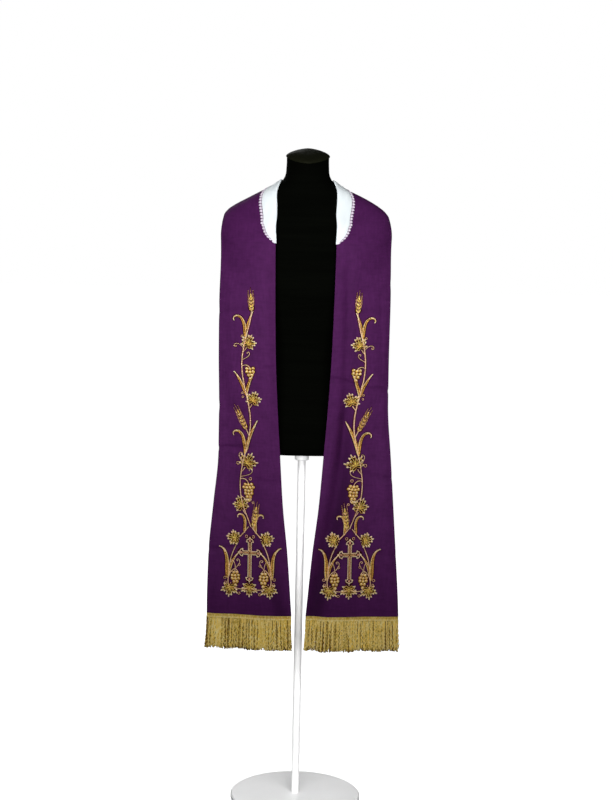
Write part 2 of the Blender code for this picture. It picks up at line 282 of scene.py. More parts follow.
class Thread(Enum):
    """The embroidery threads: base colour, roughness, how metallic, and how far each is kept off its
    darker painted-shade copy.
    """

    # dark wine outline round every motif, drawn wide enough to paint the shadow round the raised work
    WINE = ("wine_underlay_thread", (0.055, 0.0075, 0.0105), 0.70, 0.0, 0.2)
    OLIVE = ("olive_gold_thread", (0.54, 0.275, 0.020), 0.38, 0.45, 0.02)
    WHEAT = ("wheat_gold_thread", (0.94, 0.465, 0.050), 0.36, 0.45, 0.08)
    ROSE = ("rose_gold_thread", (0.78, 0.345, 0.20), 0.36, 0.40, 0.12)
    BRIGHT = ("bright_gold_thread", (1.0, 0.575, 0.080), 0.34, 0.45, 0.34)
    PALE = ("pale_gold_thread", (1.0, 0.635, 0.37), 0.32, 0.35, 0.54)


@dataclass(frozen=True)
class PurpleCloth:
    """Plain woven purple cloth with slubbed yarns and a faint sheen, with painted shade from the tone
    kept on its points.
    """

    color: tuple[float, float, float] = (0.117, 0.0205, 0.130)
    shade: tuple[float, float, float] = (0.040, 0.0034, 0.0465)
    pitch: float = 0.00062

    def dress(self) -> bpy.types.Material:
        """Make the material."""
        b = Bench("purple_cloth")
        place = b.cloth_place()
        across, along, _ = b.parts(place)
        turn = 2 * math.pi / self.pitch
        weave = (across * turn).wave() * (along * turn).wave()
        warp = b.noise(b.stretch(place, (170.0, 34.0, 1.0)), 1.0, 4.0, 0.65)
        weft = b.noise(b.stretch(place, (38.0, 190.0, 1.0)), 1.0, 4.0, 0.65)
        cloudy = b.noise(place, 24.0, 4.0, 0.6)
        tone = warp * 0.56 + weft * 0.56 + cloudy * 0.60 + weave * 0.12 - 0.37
        color = b.blend(self.shade, self.color, tone)
        # painted shade: the tone kept on the points darkens the cloth towards near-black and takes green
        # out of it in the troughs, under the level creases and towards the hem, and leaves it lighter
        # just above the level creases as a painted highlight
        depth = b.attribute("tone")
        color = b.blend((0.0030, 0.0004, 0.0036), color, depth)
        color = b.blend(color, (1.0, 0.46, 1.0), 1.55 - depth * 1.6, "MULTIPLY")
        return b.finish(bump=weave * 0.8 + warp + weft, bump_height=0.00016, Base_Color=color,
                        Roughness=cloudy * 0.10 + 0.66, Sheen_Weight=0.01, Sheen_Roughness=0.40,
                        Sheen_Tint=(0.85, 0.40, 0.85, 1.0), Specular_IOR_Level=0.12)


@dataclass(frozen=True)
class WhiteLinen:
    """Fine white linen with a cool cast."""

    color: tuple[float, float, float] = (0.90, 0.96, 0.98)

    def dress(self) -> bpy.types.Material:
        """Make the material."""
        b = Bench("white_linen")
        place = b.cloth_place()
        across, along, _ = b.parts(place)
        weave = (across * 9000.0).wave() * (along * 9000.0).wave()
        slub = b.noise(b.stretch(place, (120.0, 1100.0, 1.0)), 1.0, 2.0)
        color = b.blend((0.80, 0.87, 0.90), self.color, slub * 0.6 + 0.4)
        return b.finish(bump=weave + slub, bump_height=0.00012, Base_Color=color,
                        Roughness=slub * 0.1 + 0.72, Sheen_Weight=0.05, Specular_IOR_Level=0.15)


@dataclass(frozen=True)
class LaceThread:
    """Crisp lilac-white lace thread."""

    color: tuple[float, float, float] = (0.84, 0.76, 0.86)

    def dress(self) -> bpy.types.Material:
        """Make the material."""
        b = Bench("lilac_lace_thread")
        across, along, _ = b.parts(b.cloth_place())
        twist = (along * 5200.0 + across * 3.0).wave()
        color = b.blend((0.56, 0.46, 0.59), self.color, twist * 0.6 + 0.4)
        return b.finish(bump=twist, bump_height=0.00012, Base_Color=color,
                        Roughness=twist * 0.1 + 0.55, Specular_IOR_Level=0.4)


@dataclass(frozen=True)
class StitchGold:
    """Satin stitch in a metallic thread, with painted shade and painted glints in its colour."""

    thread: Thread

    def dress(self) -> bpy.types.Material:
        """Make the material."""
        name, color, rough, metal, full = self.thread.value
        b = Bench(name)
        place = b.cloth_place()
        _, along, _ = b.parts(place)
        lay = (along * (2 * math.pi / 0.00045)).wave()
        patch_and_painted_light = b.noise(b.stretch(b.place(), (420.0, 420.0, 420.0)), 1.0, 2.0, 0.7)
        # painted shade: a darker copy of the thread, mixed in along the stitch lines and in patches
        dark = (color[0] * 0.18, color[1] * 0.075, color[2] * 0.20)
        light = (1.0, min(1.0, color[1] * 1.2 + 0.16), min(1.0, color[2] * 1.3 + 0.11))
        base = b.blend(dark, color, lay * 0.34 + patch_and_painted_light * 2.9 - 1.14 + full)
        # painted glints: a lit copy of the thread in small bright specks
        if metal > 0.0:
            base = b.blend(base, light, patch_and_painted_light ** 5.0 * 13.0)
        return b.finish(bump=lay * 0.6 + patch_and_painted_light, bump_height=0.00026, Base_Color=base,
                        Roughness=patch_and_painted_light * 0.18 + (rough - 0.06), Metallic=metal,
                        Specular_IOR_Level=0.03 if metal == 0.0 else 0.16)


@dataclass(frozen=True)
class FringeGold:
    """Twisted metallic yarn with strand to strand variation, painted shade carried in its tone, and
    painted glints.
    """

    name: str = "fringe_gold"
    light: tuple[float, float, float] = (1.0, 0.69, 0.080)
    dark: tuple[float, float, float] = (0.14, 0.056, 0.002)
    twist: float = 0.0026

    def dress(self) -> bpy.types.Material:
        """Make the material."""
        b = Bench(self.name)
        across, along, _ = b.parts(b.cloth_place())
        spiral = (along * (2 * math.pi / self.twist) + across * (2 * math.pi)).wave()
        grain_and_painted_glint = b.noise(b.stretch(b.place(), (330.0, 330.0, 110.0)), 1.0, 2.0, 0.7)
        silver = b.noise(b.stretch(b.place(), (42.0, 42.0, 14.0)), 1.0, 2.0)
        tone = b.attribute("tone")
        # painted glints: the grain noise lightens the colour in specks here and below, more so where the
        # tone is higher; a low tone is painted shade
        color = b.blend(self.dark, self.light, spiral * 0.34 + tone * 1.34 + grain_and_painted_glint * 1.3 - 0.86)
        color = b.blend(color, (0.62, 0.47, 0.24), silver ** 3.0 * 1.3 * tone)
        color = b.blend(color, (1.0, 0.86, 0.40), grain_and_painted_glint ** 5.0 * 12.0 * tone)
        return b.finish(bump=spiral + grain_and_painted_glint, bump_height=0.00045, Base_Color=color,
                        Roughness=grain_and_painted_glint * 0.25 + 0.26, Metallic=0.34, Specular_IOR_Level=0.09)


@dataclass(frozen=True)
class BlackJersey:
    """Matt black stretch cover with a fine rib and faint level creases, its colour a little lighter
    along the creases as a painted sheen.
    """

    def dress(self) -> bpy.types.Material:
        """Make the material."""
        b = Bench("black_jersey")
        place = b.place()
        _, _, up = b.parts(place)
        rib = (up * 5200.0).wave()
        crease_and_painted_sheen = b.noise(b.stretch(place, (5.0, 5.0, 60.0)), 1.0, 3.0, 0.6)
        fuzz = b.noise(place, 700.0, 1.0)
        # painted sheen: the colour is lighter along the creases
        color = b.blend((0.0003, 0.0004, 0.0002), (0.0022, 0.0026, 0.0017), crease_and_painted_sheen * 0.8 + fuzz * 0.2)
        return b.finish(bump=crease_and_painted_sheen * 8.0 + rib * 0.5, bump_height=0.00030, Base_Color=color,
                        Roughness=fuzz * 0.12 + 0.70, Specular_IOR_Level=0.008)


@dataclass(frozen=True)
class CapSatin:
    """Smooth black cap over the neck."""

    def dress(self) -> bpy.types.Material:
        """Make the material."""
        b = Bench("black_cap_satin")
        mark = b.noise(b.place(), 60.0, 3.0)
        color = b.blend((0.0060, 0.0064, 0.0032), (0.0105, 0.0112, 0.0062), mark)
        return b.finish(bump=mark, bump_height=0.00010, Base_Color=color,
                        Roughness=mark * 0.2 + 0.32, Specular_IOR_Level=0.015)


@dataclass(frozen=True)
class WhiteLacquer:
    """Powder coat on the stand."""

    def dress(self) -> bpy.types.Material:
        """Make the material."""
        b = Bench("white_powder_coat")
        peel = b.noise(b.place(), 900.0, 1.0)
        wear = b.noise(b.place(), 14.0, 3.0)
        color = b.blend((0.86, 0.86, 0.86), (0.93, 0.93, 0.93), wear)
        return b.finish(bump=peel, bump_height=0.00008, Base_Color=color,
                        Roughness=wear * 0.15 + 0.36, Specular_IOR_Level=0.45)


# ---- making pieces ----------------------------------------------------------------
def make_piece(name: str, verts: Grid, faces: Grid, material: bpy.types.Material,
               uv: Optional[Grid] = None, tone: Optional[Grid] = None) -> bpy.types.Object:
    """Make one smooth piece that rides on the frame.

    Args:
        name: The piece's name.
        verts: Points, one row each.
        faces: Quads, or triangles, as rows of point numbers.
        material: Its finish.
        uv: Flat cloth coordinates, one row a point.
        tone: One number a point: strand to strand variation, with painted shade and glints on the fringe
            and braid and painted shade on the cloth.

    Returns:
        The object.
    """
    verts, faces = np.asarray(verts, float), np.asarray(faces, int)
    mesh = bpy.data.meshes.new(name)
    mesh.vertices.add(len(verts))
    mesh.vertices.foreach_set("co", verts.astype(np.float32).ravel())
    corners = faces.shape[1]
    mesh.loops.add(faces.size)
    mesh.loops.foreach_set("vertex_index", faces.astype(np.int32).ravel())
    mesh.polygons.add(len(faces))
    mesh.polygons.foreach_set("loop_start", np.arange(0, faces.size, corners, dtype=np.int32))
    mesh.update(calc_edges=True)
    mesh.polygons.foreach_set("use_smooth", np.ones(len(faces), bool))
    if uv is not None:
        layer = mesh.uv_layers.new(name="cloth")
        layer.data.foreach_set("uv", np.asarray(uv, np.float32)[faces.ravel()].ravel())
    if tone is not None:
        kept = mesh.attributes.new("tone", "FLOAT", "POINT")
        kept.data.foreach_set("value", np.asarray(tone, np.float32))
    mesh.materials.append(material)
    mesh.validate()
    obj = bpy.data.objects.new(name, mesh)
    bpy.context.scene.collection.objects.link(obj)
    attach(obj, "root")
    LOG.info("%s: %d faces", name, len(faces))
    return obj


def quad_grid(rows: int, cols: int, start: int = 0, flip: bool = False) -> Grid:
    """Faces of a grid of points.

    Args:
        rows: Rows of points.
        cols: Points in a row.
        start: Number of the first point.
        flip: Whether the faces look the other way.

    Returns:
        The quads.
    """
    i, j = np.meshgrid(np.arange(rows - 1), np.arange(cols - 1), indexing="ij")
    a = (i * cols + j + start).ravel()
    quads = np.stack([a, a + 1, a + cols + 1, a + cols], axis=1)
    return quads[:, ::-1] if flip else quads


def shell(outer: Grid, inner: Grid, across: Grid, along: Grid,
          roll: float) -> tuple[Grid, Grid, Grid]:
    """Close two grids into a wall with softly rounded edges.

    Args:
        outer: Grid of the shown face.
        inner: Grid of the hidden face, point for point.
        across: Flat distance across, one value a point.
        along: Flat distance along, one value a point.
        roll: How far the rounded edges stand out.

    Returns:
        Points, quads and flat coordinates.
    """
    rows, cols = outer.shape[:2]
    n = rows * cols
    rim = [(0, j) for j in range(cols)] + [(i, cols - 1) for i in range(1, rows)]
    rim += [(rows - 1, j) for j in range(cols - 2, -1, -1)]
    rim += [(i, 0) for i in range(rows - 2, 0, -1)]
    ids = np.array([i * cols + j for i, j in rim])
    flat_outer, flat_inner = outer.reshape(-1, 3), inner.reshape(-1, 3)
    edge = 0.5 * (flat_outer[ids] + flat_inner[ids])
    inward = edge.copy()
    for k, (i, j) in enumerate(rim):
        ii, jj = min(max(i, 1), rows - 2), min(max(j, 1), cols - 2)
        inward[k] = 0.5 * (outer[ii, jj] + inner[ii, jj])
    away = edge - inward
    edge = edge + away / np.maximum(np.linalg.norm(away, axis=1), 1e-9)[:, None] * roll
    verts = np.vstack([flat_outer, flat_inner, edge])
    faces = [quad_grid(rows, cols), quad_grid(rows, cols, n, True)]
    ring = np.arange(len(ids))
    after = (ring + 1) % len(ids)
    faces.append(np.stack([ids[after], ids, 2 * n + ring, 2 * n + after], axis=1))
    faces.append(np.stack([2 * n + after, 2 * n + ring, n + ids, n + ids[after]], axis=1))
    flat = np.stack([across.ravel(), along.ravel()], axis=1)
    return verts, np.vstack(faces), np.vstack([flat, flat, flat[ids]])


def tubes(paths: Grid, radius: Grid, sides: int) -> tuple[Grid, Grid, Grid]:
    """Round tubes along many paths of the same number of points.

    Args:
        paths: Path by point by 3.
        radius: Path by point.
        sides: Points round a tube.

    Returns:
        Points, quads and flat coordinates, around by along.
    """
    count, length = paths.shape[:2]
    tangent = np.gradient(paths, axis=1)
    tangent /= np.maximum(np.linalg.norm(tangent, axis=-1, keepdims=True), 1e-9)
    ref = np.where(np.abs(tangent[..., 1:2]) < 0.9, [0.0, 1.0, 0.0], [1.0, 0.0, 0.0])
    side = np.cross(tangent, ref)
    side /= np.linalg.norm(side, axis=-1, keepdims=True)
    other = np.cross(side, tangent)
    turn = np.arange(sides) * 2 * math.pi / sides
    ring = (side[:, :, None] * np.cos(turn)[:, None] + other[:, :, None] * np.sin(turn)[:, None])
    verts = paths[:, :, None] + ring * radius[:, :, None, None]
    base = (np.arange(count) * length * sides)[:, None, None]
    i = np.arange(length - 1)[None, :, None] * sides
    j = np.arange(sides)[None, None, :]
    k = (j + 1) % sides
    faces = np.stack([base + i + j, base + i + k, base + i + sides + k, base + i + sides + j], -1)
    run = np.concatenate([np.zeros((count, 1)), np.cumsum(
        np.linalg.norm(np.diff(paths, axis=1), axis=-1), axis=1)], axis=1)
    uv = np.stack([np.broadcast_to(turn / (2 * math.pi), (count, length, sides)),
                   np.broadcast_to(run[:, :, None], (count, length, sides))], -1)
    caps = []
    for c in range(count):
        for end in (0, length - 1):
            o = c * length * sides + end * sides
            for k4 in range(0, sides - 2, 2):
                quad = [o, o + k4 + 1, o + k4 + 2, o + min(k4 + 3, sides - 1)]
                caps.append(quad if end else quad[::-1])
    return verts.reshape(-1, 3), np.vstack([faces.reshape(-1, 4), np.array(caps)]), uv.reshape(-1, 2)


# ---- the dress form ------------------------------------------------------------------
@dataclass
class DressForm:
    """Torso and neck under black jersey, with a cap over the neck."""

    # z, half width, front reach, back reach, squareness
    sections: Grid = field(default_factory=lambda: np.array([
        (0.9240, 0.1480, 0.0920, 0.0960, 2.3),
        (0.9260, 0.1560, 0.1000, 0.1040, 2.3),
        (0.9320, 0.1630, 0.1070, 0.1110, 2.3),
        (0.9450, 0.1675, 0.1110, 0.1160, 2.3),
        (0.9900, 0.1690, 0.1110, 0.1180, 2.3),
        (1.0700, 0.1530, 0.1040, 0.1040, 2.2),
        (1.1700, 0.1320, 0.0980, 0.0890, 2.2),
        (1.2700, 0.1480, 0.1120, 0.0950, 2.2),
        (1.3500, 0.1660, 0.1240, 0.1030, 2.3),
        (1.4100, 0.1850, 0.1150, 0.1060, 2.4),
        (1.4500, 0.2020, 0.1020, 0.1060, 2.3),
        (1.4780, 0.2090, 0.0930, 0.1030, 2.2),
        (1.5030, 0.2100, 0.0840, 0.0980, 2.1),
        (1.5220, 0.2060, 0.0770, 0.0930, 2.0),
        (1.5360, 0.1960, 0.0710, 0.0870, 2.0),
        (1.5480, 0.1800, 0.0660, 0.0820, 2.0),
        (1.5600, 0.1600, 0.0620, 0.0770, 2.0),
        (1.5720, 0.1380, 0.0590, 0.0730, 2.0),
        (1.5830, 0.1160, 0.0565, 0.0690, 2.0),
        (1.5940, 0.0920, 0.0545, 0.0660, 2.0),
        (1.6050, 0.0740, 0.0535, 0.0630, 2.0),
        (1.6180, 0.0610, 0.0525, 0.0590, 2.0),
        (1.6340, 0.0550, 0.0520, 0.0560, 2.0),
        (1.6600, 0.0535, 0.0520, 0.0545, 2.0),]))
    neck_tilt: float = math.radians(20.0)
    neck_break: float = 1.6180
    neck_top: float = 1.6740
    seam_gap: float = 0.0003

    def inside(self, p: Grid) -> Grid:
        """Below 1 inside the form, 1 on its skin."""
        rows = through(self.sections[:, 0], self.sections[:, 1:], p[..., 2])
        half, front, back, power = np.moveaxis(rows, -1, 0)
        reach = np.where(p[..., 1] < 0, front, back)
        value = (np.abs(p[..., 0]) / half) ** power + (np.abs(p[..., 1]) / reach) ** power
        return np.where(p[..., 2] < self.sections[0, 0], 9.0, value)

    def reach(self, start: Grid, direction: Grid) -> Grid:
        """Distance from start along direction to the skin, 0 where start is outside."""
        low, high = np.zeros(start.shape[:-1]), np.full(start.shape[:-1], 0.40)
        within = self.inside(start) < 1.0
        for _ in range(30):
            mid = 0.5 * (low + high)
            hit = self.inside(start + direction * mid[..., None]) < 1.0
            low, high = np.where(hit, mid, low), np.where(hit, high, mid)
        return np.where(within, low, 0.0)

    def ring(self, z: float, points: int) -> Grid:
        """One section of the form, leaning forward above the neck break."""
        lean = self.neck_tilt * float(ease(self.neck_break, self.neck_top - 0.008, z))
        half, front, back, power = through(self.sections[:, 0], self.sections[:, 1:], z)
        power -= 0.46 * float(ease(1.645, self.neck_top, z))
        t = np.linspace(0, 2 * math.pi, points, endpoint=False)
        c, s = np.cos(t), np.sin(t)
        x = half * np.sign(c) * np.abs(c) ** (2 / power)
        y = np.where(s > 0, back, front) * np.sign(s) * np.abs(s) ** (2 / power)
        return np.stack([x, y * math.cos(lean), z + y * math.sin(lean)], axis=1)

    def stack(self, name: str, rings: Sequence[Grid], material: bpy.types.Material,
              slot: str) -> bpy.types.Object:
        """Close a stack of rings into one piece."""
        count = len(rings[0])
        inner = [0.55, 0.12]
        foot, head = rings[0].mean(axis=0), rings[-1].mean(axis=0)
        rings = [foot + (rings[0] - foot) * s for s in inner[::-1]] + list(rings)
        rings += [head + (rings[-1] - head) * s for s in inner]
        verts = np.vstack(rings + [foot[None], head[None]])
        i, j = np.meshgrid(np.arange(len(rings) - 1), np.arange(count), indexing="ij")
        k = (j + 1) % count
        quads = np.stack([i * count + j, i * count + k, (i + 1) * count + k,
                          (i + 1) * count + j], axis=-1).reshape(-1, 4)
        n = len(rings) * count
        ends = []
        for j0 in range(0, count, 2):
            a, b, c = j0, (j0 + 1) % count, (j0 + 2) % count
            ends.append((n, c, b, a))
            o = (len(rings) - 1) * count
            ends.append((n + 1, o + a, o + b, o + c))
        return make_piece(name, verts, np.vstack([quads, np.array(ends)]), material)

    def build(self) -> list[bpy.types.Object]:
        """Build the torso and its cap."""
        base = self.sections[0, 0]
        edge = base + 0.020 * np.linspace(0, 1, 14) ** 1.8
        heights = np.concatenate([edge, np.linspace(base + 0.024, self.neck_top, 190)])
        torso = self.stack("torso_cover", [self.ring(z, 120) for z in heights],
                           BlackJersey().dress(), "black_jersey")
        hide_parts("form_torso")
        up = np.array([0.0, -math.sin(self.neck_tilt), math.cos(self.neck_tilt)])
        rim = self.ring(self.neck_top, 96)
        middle = rim.mean(axis=0)
        profile = ((0.985, 0.0), (1.022, 0.0003), (1.036, 0.0010), (1.040, 0.0022), (1.032, 0.0036),
                   (1.004, 0.0052), (0.95, 0.0066), (0.85, 0.0082), (0.55, 0.0108), (0.25, 0.0118))
        cap = self.stack("neck_cap", [middle + (rim - middle) * s + up * (self.seam_gap + h)
                                      for s, h in profile], CapSatin().dress(), "black_cap")
        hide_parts("form_neck_cap")
        return [torso, cap]


# ---- the cloth ------------------------------------------------------------------------
class Side(Enum):
    """Which half, as seen from the front."""

    LEFT = -1
    RIGHT = 1

    @property
    def word(self) -> str:
        """The word used in piece names."""
        return self.name.lower()


@dataclass(frozen=True)
class Crease:
    """A soft trough, or a ridge where depth is below 0, down one panel."""

    top: float
    foot: float
    across_top: float
    across_foot: float
    half_width: float
    depth: float


@dataclass(frozen=True)
class Press:
    """A faint level crease pressed in by folding, from one place across to another."""

    z_from: float
    z_to: float
    across_from: float
    across_to: float
    half_height: float
    depth: float


@dataclass
class StolePanel:
    """One cut half of the stole: front, shoulder and half of the back yoke."""

    form: DressForm
    side: Side
    wall: float = 0.0020
    clear: float = 0.0016
    fold_room: float = 0.0062
    neck_room: float = 0.0008
    hem: float = 0.5170
    seam_gap: float = 0.0003
    rows: int = 560
    columns: int = 61
    # z, inner x, outer x of the left, outer x of the right, inner y, outer y
    fronts: Grid = field(default_factory=lambda: np.array([
        (1.4600, 0.0755, 0.2130, 0.2130, -0.1090, -0.0350),
        (1.4000, 0.0750, 0.2135, 0.2140, -0.1190, -0.0500),
        (1.3150, 0.0735, 0.2150, 0.2150, -0.1290, -0.0650),
        (1.1800, 0.0700, 0.2140, 0.2155, -0.1320, -0.0760),
        (1.0580, 0.0637, 0.2110, 0.2160, -0.1330, -0.0850),
        (0.9300, 0.0550, 0.2105, 0.2250, -0.1330, -0.0920),
        (0.8000, 0.0455, 0.2210, 0.2340, -0.1320, -0.0980),
        (0.6800, 0.0320, 0.2310, 0.2430, -0.1310, -0.1020),
        (0.5170, 0.0184, 0.2345, 0.2550, -0.1300, -0.1050),]))
    # run, inner x, y, z, outer x, y, z
    yoke: Grid = field(default_factory=lambda: np.array([
        (0.00, 0.0755, -0.1090, 1.4600, 0.2130, -0.0350, 1.4600),
        (0.14, 0.0780, -0.0900, 1.5130, 0.2130, -0.0260, 1.4900),
        (0.28, 0.0775, -0.0610, 1.5550, 0.2120, -0.0140, 1.5140),
        (0.42, 0.0670, -0.0080, 1.6090, 0.2040, 0.0060, 1.5350),
        (0.56, 0.0620, 0.0330, 1.6130, 0.1880, 0.0360, 1.5300),
        (0.70, 0.0470, 0.0540, 1.6080, 0.1500, 0.0720, 1.5080),
        (0.85, 0.0250, 0.0660, 1.6020, 0.0820, 0.0980, 1.4750),
        (1.00, 0.0000, 0.0700, 1.6000, 0.0000, 0.1060, 1.4560),]))
    hub: Grid = field(default_factory=lambda: np.array([0.0, 0.0, 1.4200]))
    folds: dict[Side, tuple[Crease, ...]] = field(default_factory=lambda: {
        Side.RIGHT: (Crease(1.470, 0.920, 0.22, 0.30, 0.085, 0.0056),
                     Crease(1.150, 0.517, 0.40, 0.06, 0.105, 0.0150),
                     Crease(1.060, 0.517, 0.74, 0.66, 0.160, 0.0050)),
        Side.LEFT: (Crease(1.440, 0.620, 0.13, 0.10, 0.080, 0.0032),
                    Crease(1.080, 0.517, 0.00, 0.00, 0.110, 0.0075),
                    Crease(1.080, 0.517, 0.80, 0.66, 0.150, 0.0055))})
    creases: dict[Side, tuple[Crease, ...]] = field(default_factory=lambda: {
        Side.RIGHT: (Crease(1.36, 0.98, 0.44, 0.50, 0.060, -0.0010),
                     Crease(1.42, 1.12, 0.80, 0.88, 0.050, 0.0012),
                     Crease(1.32, 0.92, 1.00, 1.00, 0.060, 0.0030),
                     Crease(0.98, 0.56, 0.88, 0.93, 0.060, -0.0022),
                     Crease(0.86, 0.53, 0.40, 0.46, 0.070, -0.0018),
                     Crease(0.74, 0.52, 0.26, 0.24, 0.060, -0.0024)),
        Side.LEFT: (Crease(1.40, 1.05, 0.30, 0.22, 0.055, -0.0010),
                    Crease(1.20, 0.80, 0.90, 0.84, 0.050, 0.0016),
                    Crease(1.43, 1.20, 0.84, 0.78, 0.045, -0.0012),
                    Crease(1.00, 0.60, 0.15, 0.13, 0.050, -0.0018),
                    Crease(0.84, 0.53, 0.40, 0.34, 0.075, -0.0022),
                    Crease(0.72, 0.52, 0.86, 0.90, 0.055, -0.0020))})
    presses: dict[Side, tuple[Press, ...]] = field(default_factory=lambda: {
        Side.RIGHT: (Press(1.126, 1.090, 0.00, 1.00, 0.0060, 0.0030),
                     Press(0.905, 0.872, 0.45, 1.00, 0.0085, 0.0022),
                     Press(0.690, 0.676, 0.55, 1.00, 0.0090, 0.0020),
                     Press(1.335, 1.360, 0.50, 1.00, 0.0120, 0.0014)),
        Side.LEFT: (Press(1.150, 1.140, 0.00, 0.20, 0.0055, 0.0018),
                    Press(0.960, 0.938, 0.50, 1.00, 0.0065, 0.0036),
                    Press(1.030, 1.045, 0.60, 1.00, 0.0130, 0.0030),
                    Press(0.862, 0.870, 0.00, 0.35, 0.0090, 0.0020),
                    Press(0.694, 0.684, 0.50, 1.00, 0.0080, 0.0030),
                    Press(1.300, 1.288, 0.55, 1.00, 0.0140, 0.0016))})

    # height, place across, half width, strength of the painted shade down the main trough
    troughs: dict[Side, Grid] = field(default_factory=lambda: {
        Side.RIGHT: np.array([
            (1.420, 0.26, 0.12, 0.00), (1.320, 0.31, 0.14, 0.22), (1.180, 0.32, 0.15, 0.22),
            (1.080, 0.34, 0.14, 0.14), (0.990, 0.34, 0.14, 0.29), (0.900, 0.34, 0.15, 0.44),
            (0.800, 0.31, 0.16, 0.52), (0.730, 0.25, 0.15, 0.56), (0.650, 0.19, 0.13, 0.57),
            (0.560, 0.11, 0.11, 0.56), (0.517, 0.08, 0.11, 0.50)]),
        Side.LEFT: np.array([
            (1.050, 0.30, 0.10, 0.00), (0.800, 0.34, 0.12, 0.10), (0.730, 0.31, 0.12, 0.17),
            (0.650, 0.26, 0.12, 0.20), (0.580, 0.16, 0.09, 0.34), (0.517, 0.13, 0.08, 0.38)])})

    def __post_init__(self) -> None:
        """Lay the cloth once; every piece sewn to it reads this grid."""
        front_rows = int(self.rows * 0.74)
        self.run = np.concatenate([np.linspace(-1.0, 0.0, front_rows),
                                   np.linspace(0.0, 1.0, self.rows - front_rows + 1)[1:]])
        self.across = np.linspace(0.0, 1.0, self.columns)
        run, across = np.meshgrid(self.run, self.across, indexing="ij")
        self.outer, self.normal = self.surface(run, across)
        self.inner = self.outer - self.normal * self.wall
        limit = 0.5 * self.seam_gap
        for grid in (self.outer, self.inner):
            grid[..., 0] = self.side.value * np.maximum(grid[..., 0] * self.side.value, limit)
        step = np.linalg.norm(np.diff(self.outer, axis=1), axis=-1)
        self.width_at = np.concatenate([np.zeros((self.rows, 1)), np.cumsum(step, axis=1)], axis=1)
        step = np.linalg.norm(np.diff(self.outer, axis=0), axis=-1)
        self.length_at = np.concatenate([np.zeros((1, self.columns)), np.cumsum(step, axis=0)])

    def middle(self, run: Grid, across: Grid) -> Grid:
        """Middle surface with no folds; run is -1 at the hem, 0 at the chest, 1 behind."""
        top = self.fronts[0, 0]
        z = np.where(run < 0, top + run * (top - self.hem), top)
        front = through(self.fronts[:, 0], self.fronts[:, 1:], z)
        outer_x = front[..., 1] if self.side is Side.LEFT else front[..., 2]
        hang = np.stack([
            front[..., 0] + (outer_x - front[..., 0]) * across,
            front[..., 3] + (front[..., 4] - front[..., 3]) * across ** 1.6, z], axis=-1)
        yoke = through(self.yoke[:, 0], self.yoke[:, 1:], np.maximum(run, 0.0))
        over = yoke[..., 0:3] + (yoke[..., 3:6] - yoke[..., 0:3]) * across[..., None]
        over[..., 1] += (hang[..., 1] - (front[..., 3] + (front[..., 4] - front[..., 3])
                                         * across)) * (1.0 - ease(0.0, 0.3, run))
        point = np.where((run < 0)[..., None], hang, over)
        turn = ease(-0.10, 0.16, run)[..., None]
        hub = (point * np.array([1.0, 0.0, 1.0])) * (1.0 - turn) + self.hub * turn
        away = point - hub
        reach = np.linalg.norm(away, axis=-1)
        away = away / reach[..., None]
        skin = self.form.reach(hub, away) + self.clear + 0.5 * self.wall
        skin = skin + self.fold_room * (1.0 - ease(-0.05, 0.34, run))
        skin = skin + self.neck_room * np.clip(1.0 - across, 0, 1) ** 4 * ease(0.15, 0.35, run)
        free = 1.0 - ease(0.05, 0.36, run)
        point = hub + away * (skin + (soft_max(reach, skin, 0.008) - skin) * free)[..., None]
        point[..., 0] *= self.side.value
        return point

    def drawn_in(self, run: Grid, across: Grid, creases: Sequence[Crease]) -> Grid:
        """How far a set of creases draws the cloth in."""
        z = self.fronts[0, 0] + np.minimum(run, 0.0) * (self.fronts[0, 0] - self.hem)
        total = np.zeros(run.shape)
        for c in creases:
            t = np.clip((c.top - z) / (c.top - c.foot), 0.0, 1.0)
            line = c.across_top + (c.across_foot - c.across_top) * t
            ends = ease(c.top + 0.02, c.top - 0.16, z) * ease(c.foot - 0.14, c.foot + 0.08, z)
            total = total + c.depth * ends * np.exp(-((across - line) / c.half_width) ** 2)
        return total

    def surface(self, run: Grid, across: Grid) -> tuple[Grid, Grid]:
        """Shown face and its normals, with the listed creases."""
        middle = self.middle(run, across)
        normal = np.cross(np.gradient(middle, axis=1), np.gradient(middle, axis=0))
        normal *= self.side.value / np.linalg.norm(normal, axis=-1, keepdims=True)
        draw = self.drawn_in(run, across, self.folds[self.side])
        draw = draw + self.drawn_in(run, across, self.creases[self.side]) \
            * (1.0 - ease(-0.16, -0.04, run))
        z = self.fronts[0, 0] + np.minimum(run, 0.0) * (self.fronts[0, 0] - self.hem)
        for p in self.presses[self.side]:
            draw = draw + p.depth * self.press(p, z, across, 0.0, p.half_height)
        draw = draw + 0.0060 * ease(0.60, 0.50, z) ** 2 * (1.0 - ease(-0.2, 0.0, run))
        yoke = ease(0.02, 0.20, run)
        s = self.side.value
        draw = draw - yoke * 0.0009 * (1 + np.sin(across * 7.0 + run * 5.0 + s)) \
            * ease(0.10, 0.35, across) * (1.0 - ease(0.96, 1.0, run))
        ripple = np.sin(run * 31.0 + across * 3.1 + s) * np.sin(across * 8.7 - run * 4.0 + 2 * s)
        draw = draw + 0.00035 * ripple * ease(0.0, 0.1, across) * ease(1.0, 0.9, across) \
            * (1.0 - yoke)
        face = middle + normal * (0.5 * self.wall - draw)[..., None]
        return face, normal

    def press(self, p: Press, z: Grid, across: Grid, drop: float, height: float) -> Grid:
        """How strongly one level crease shows, 0 to 1, at places on the cloth."""
        level = p.z_from + (p.z_to - p.z_from) * across + 0.003 * np.sin(9.0 * across + p.z_to * 40)
        within = ease(p.across_from - 0.12, p.across_from + 0.04, across) \
            * ease(p.across_to + 0.12, p.across_to - 0.04, across)
        return within * np.exp(-((z - level + drop) / height) ** 2)

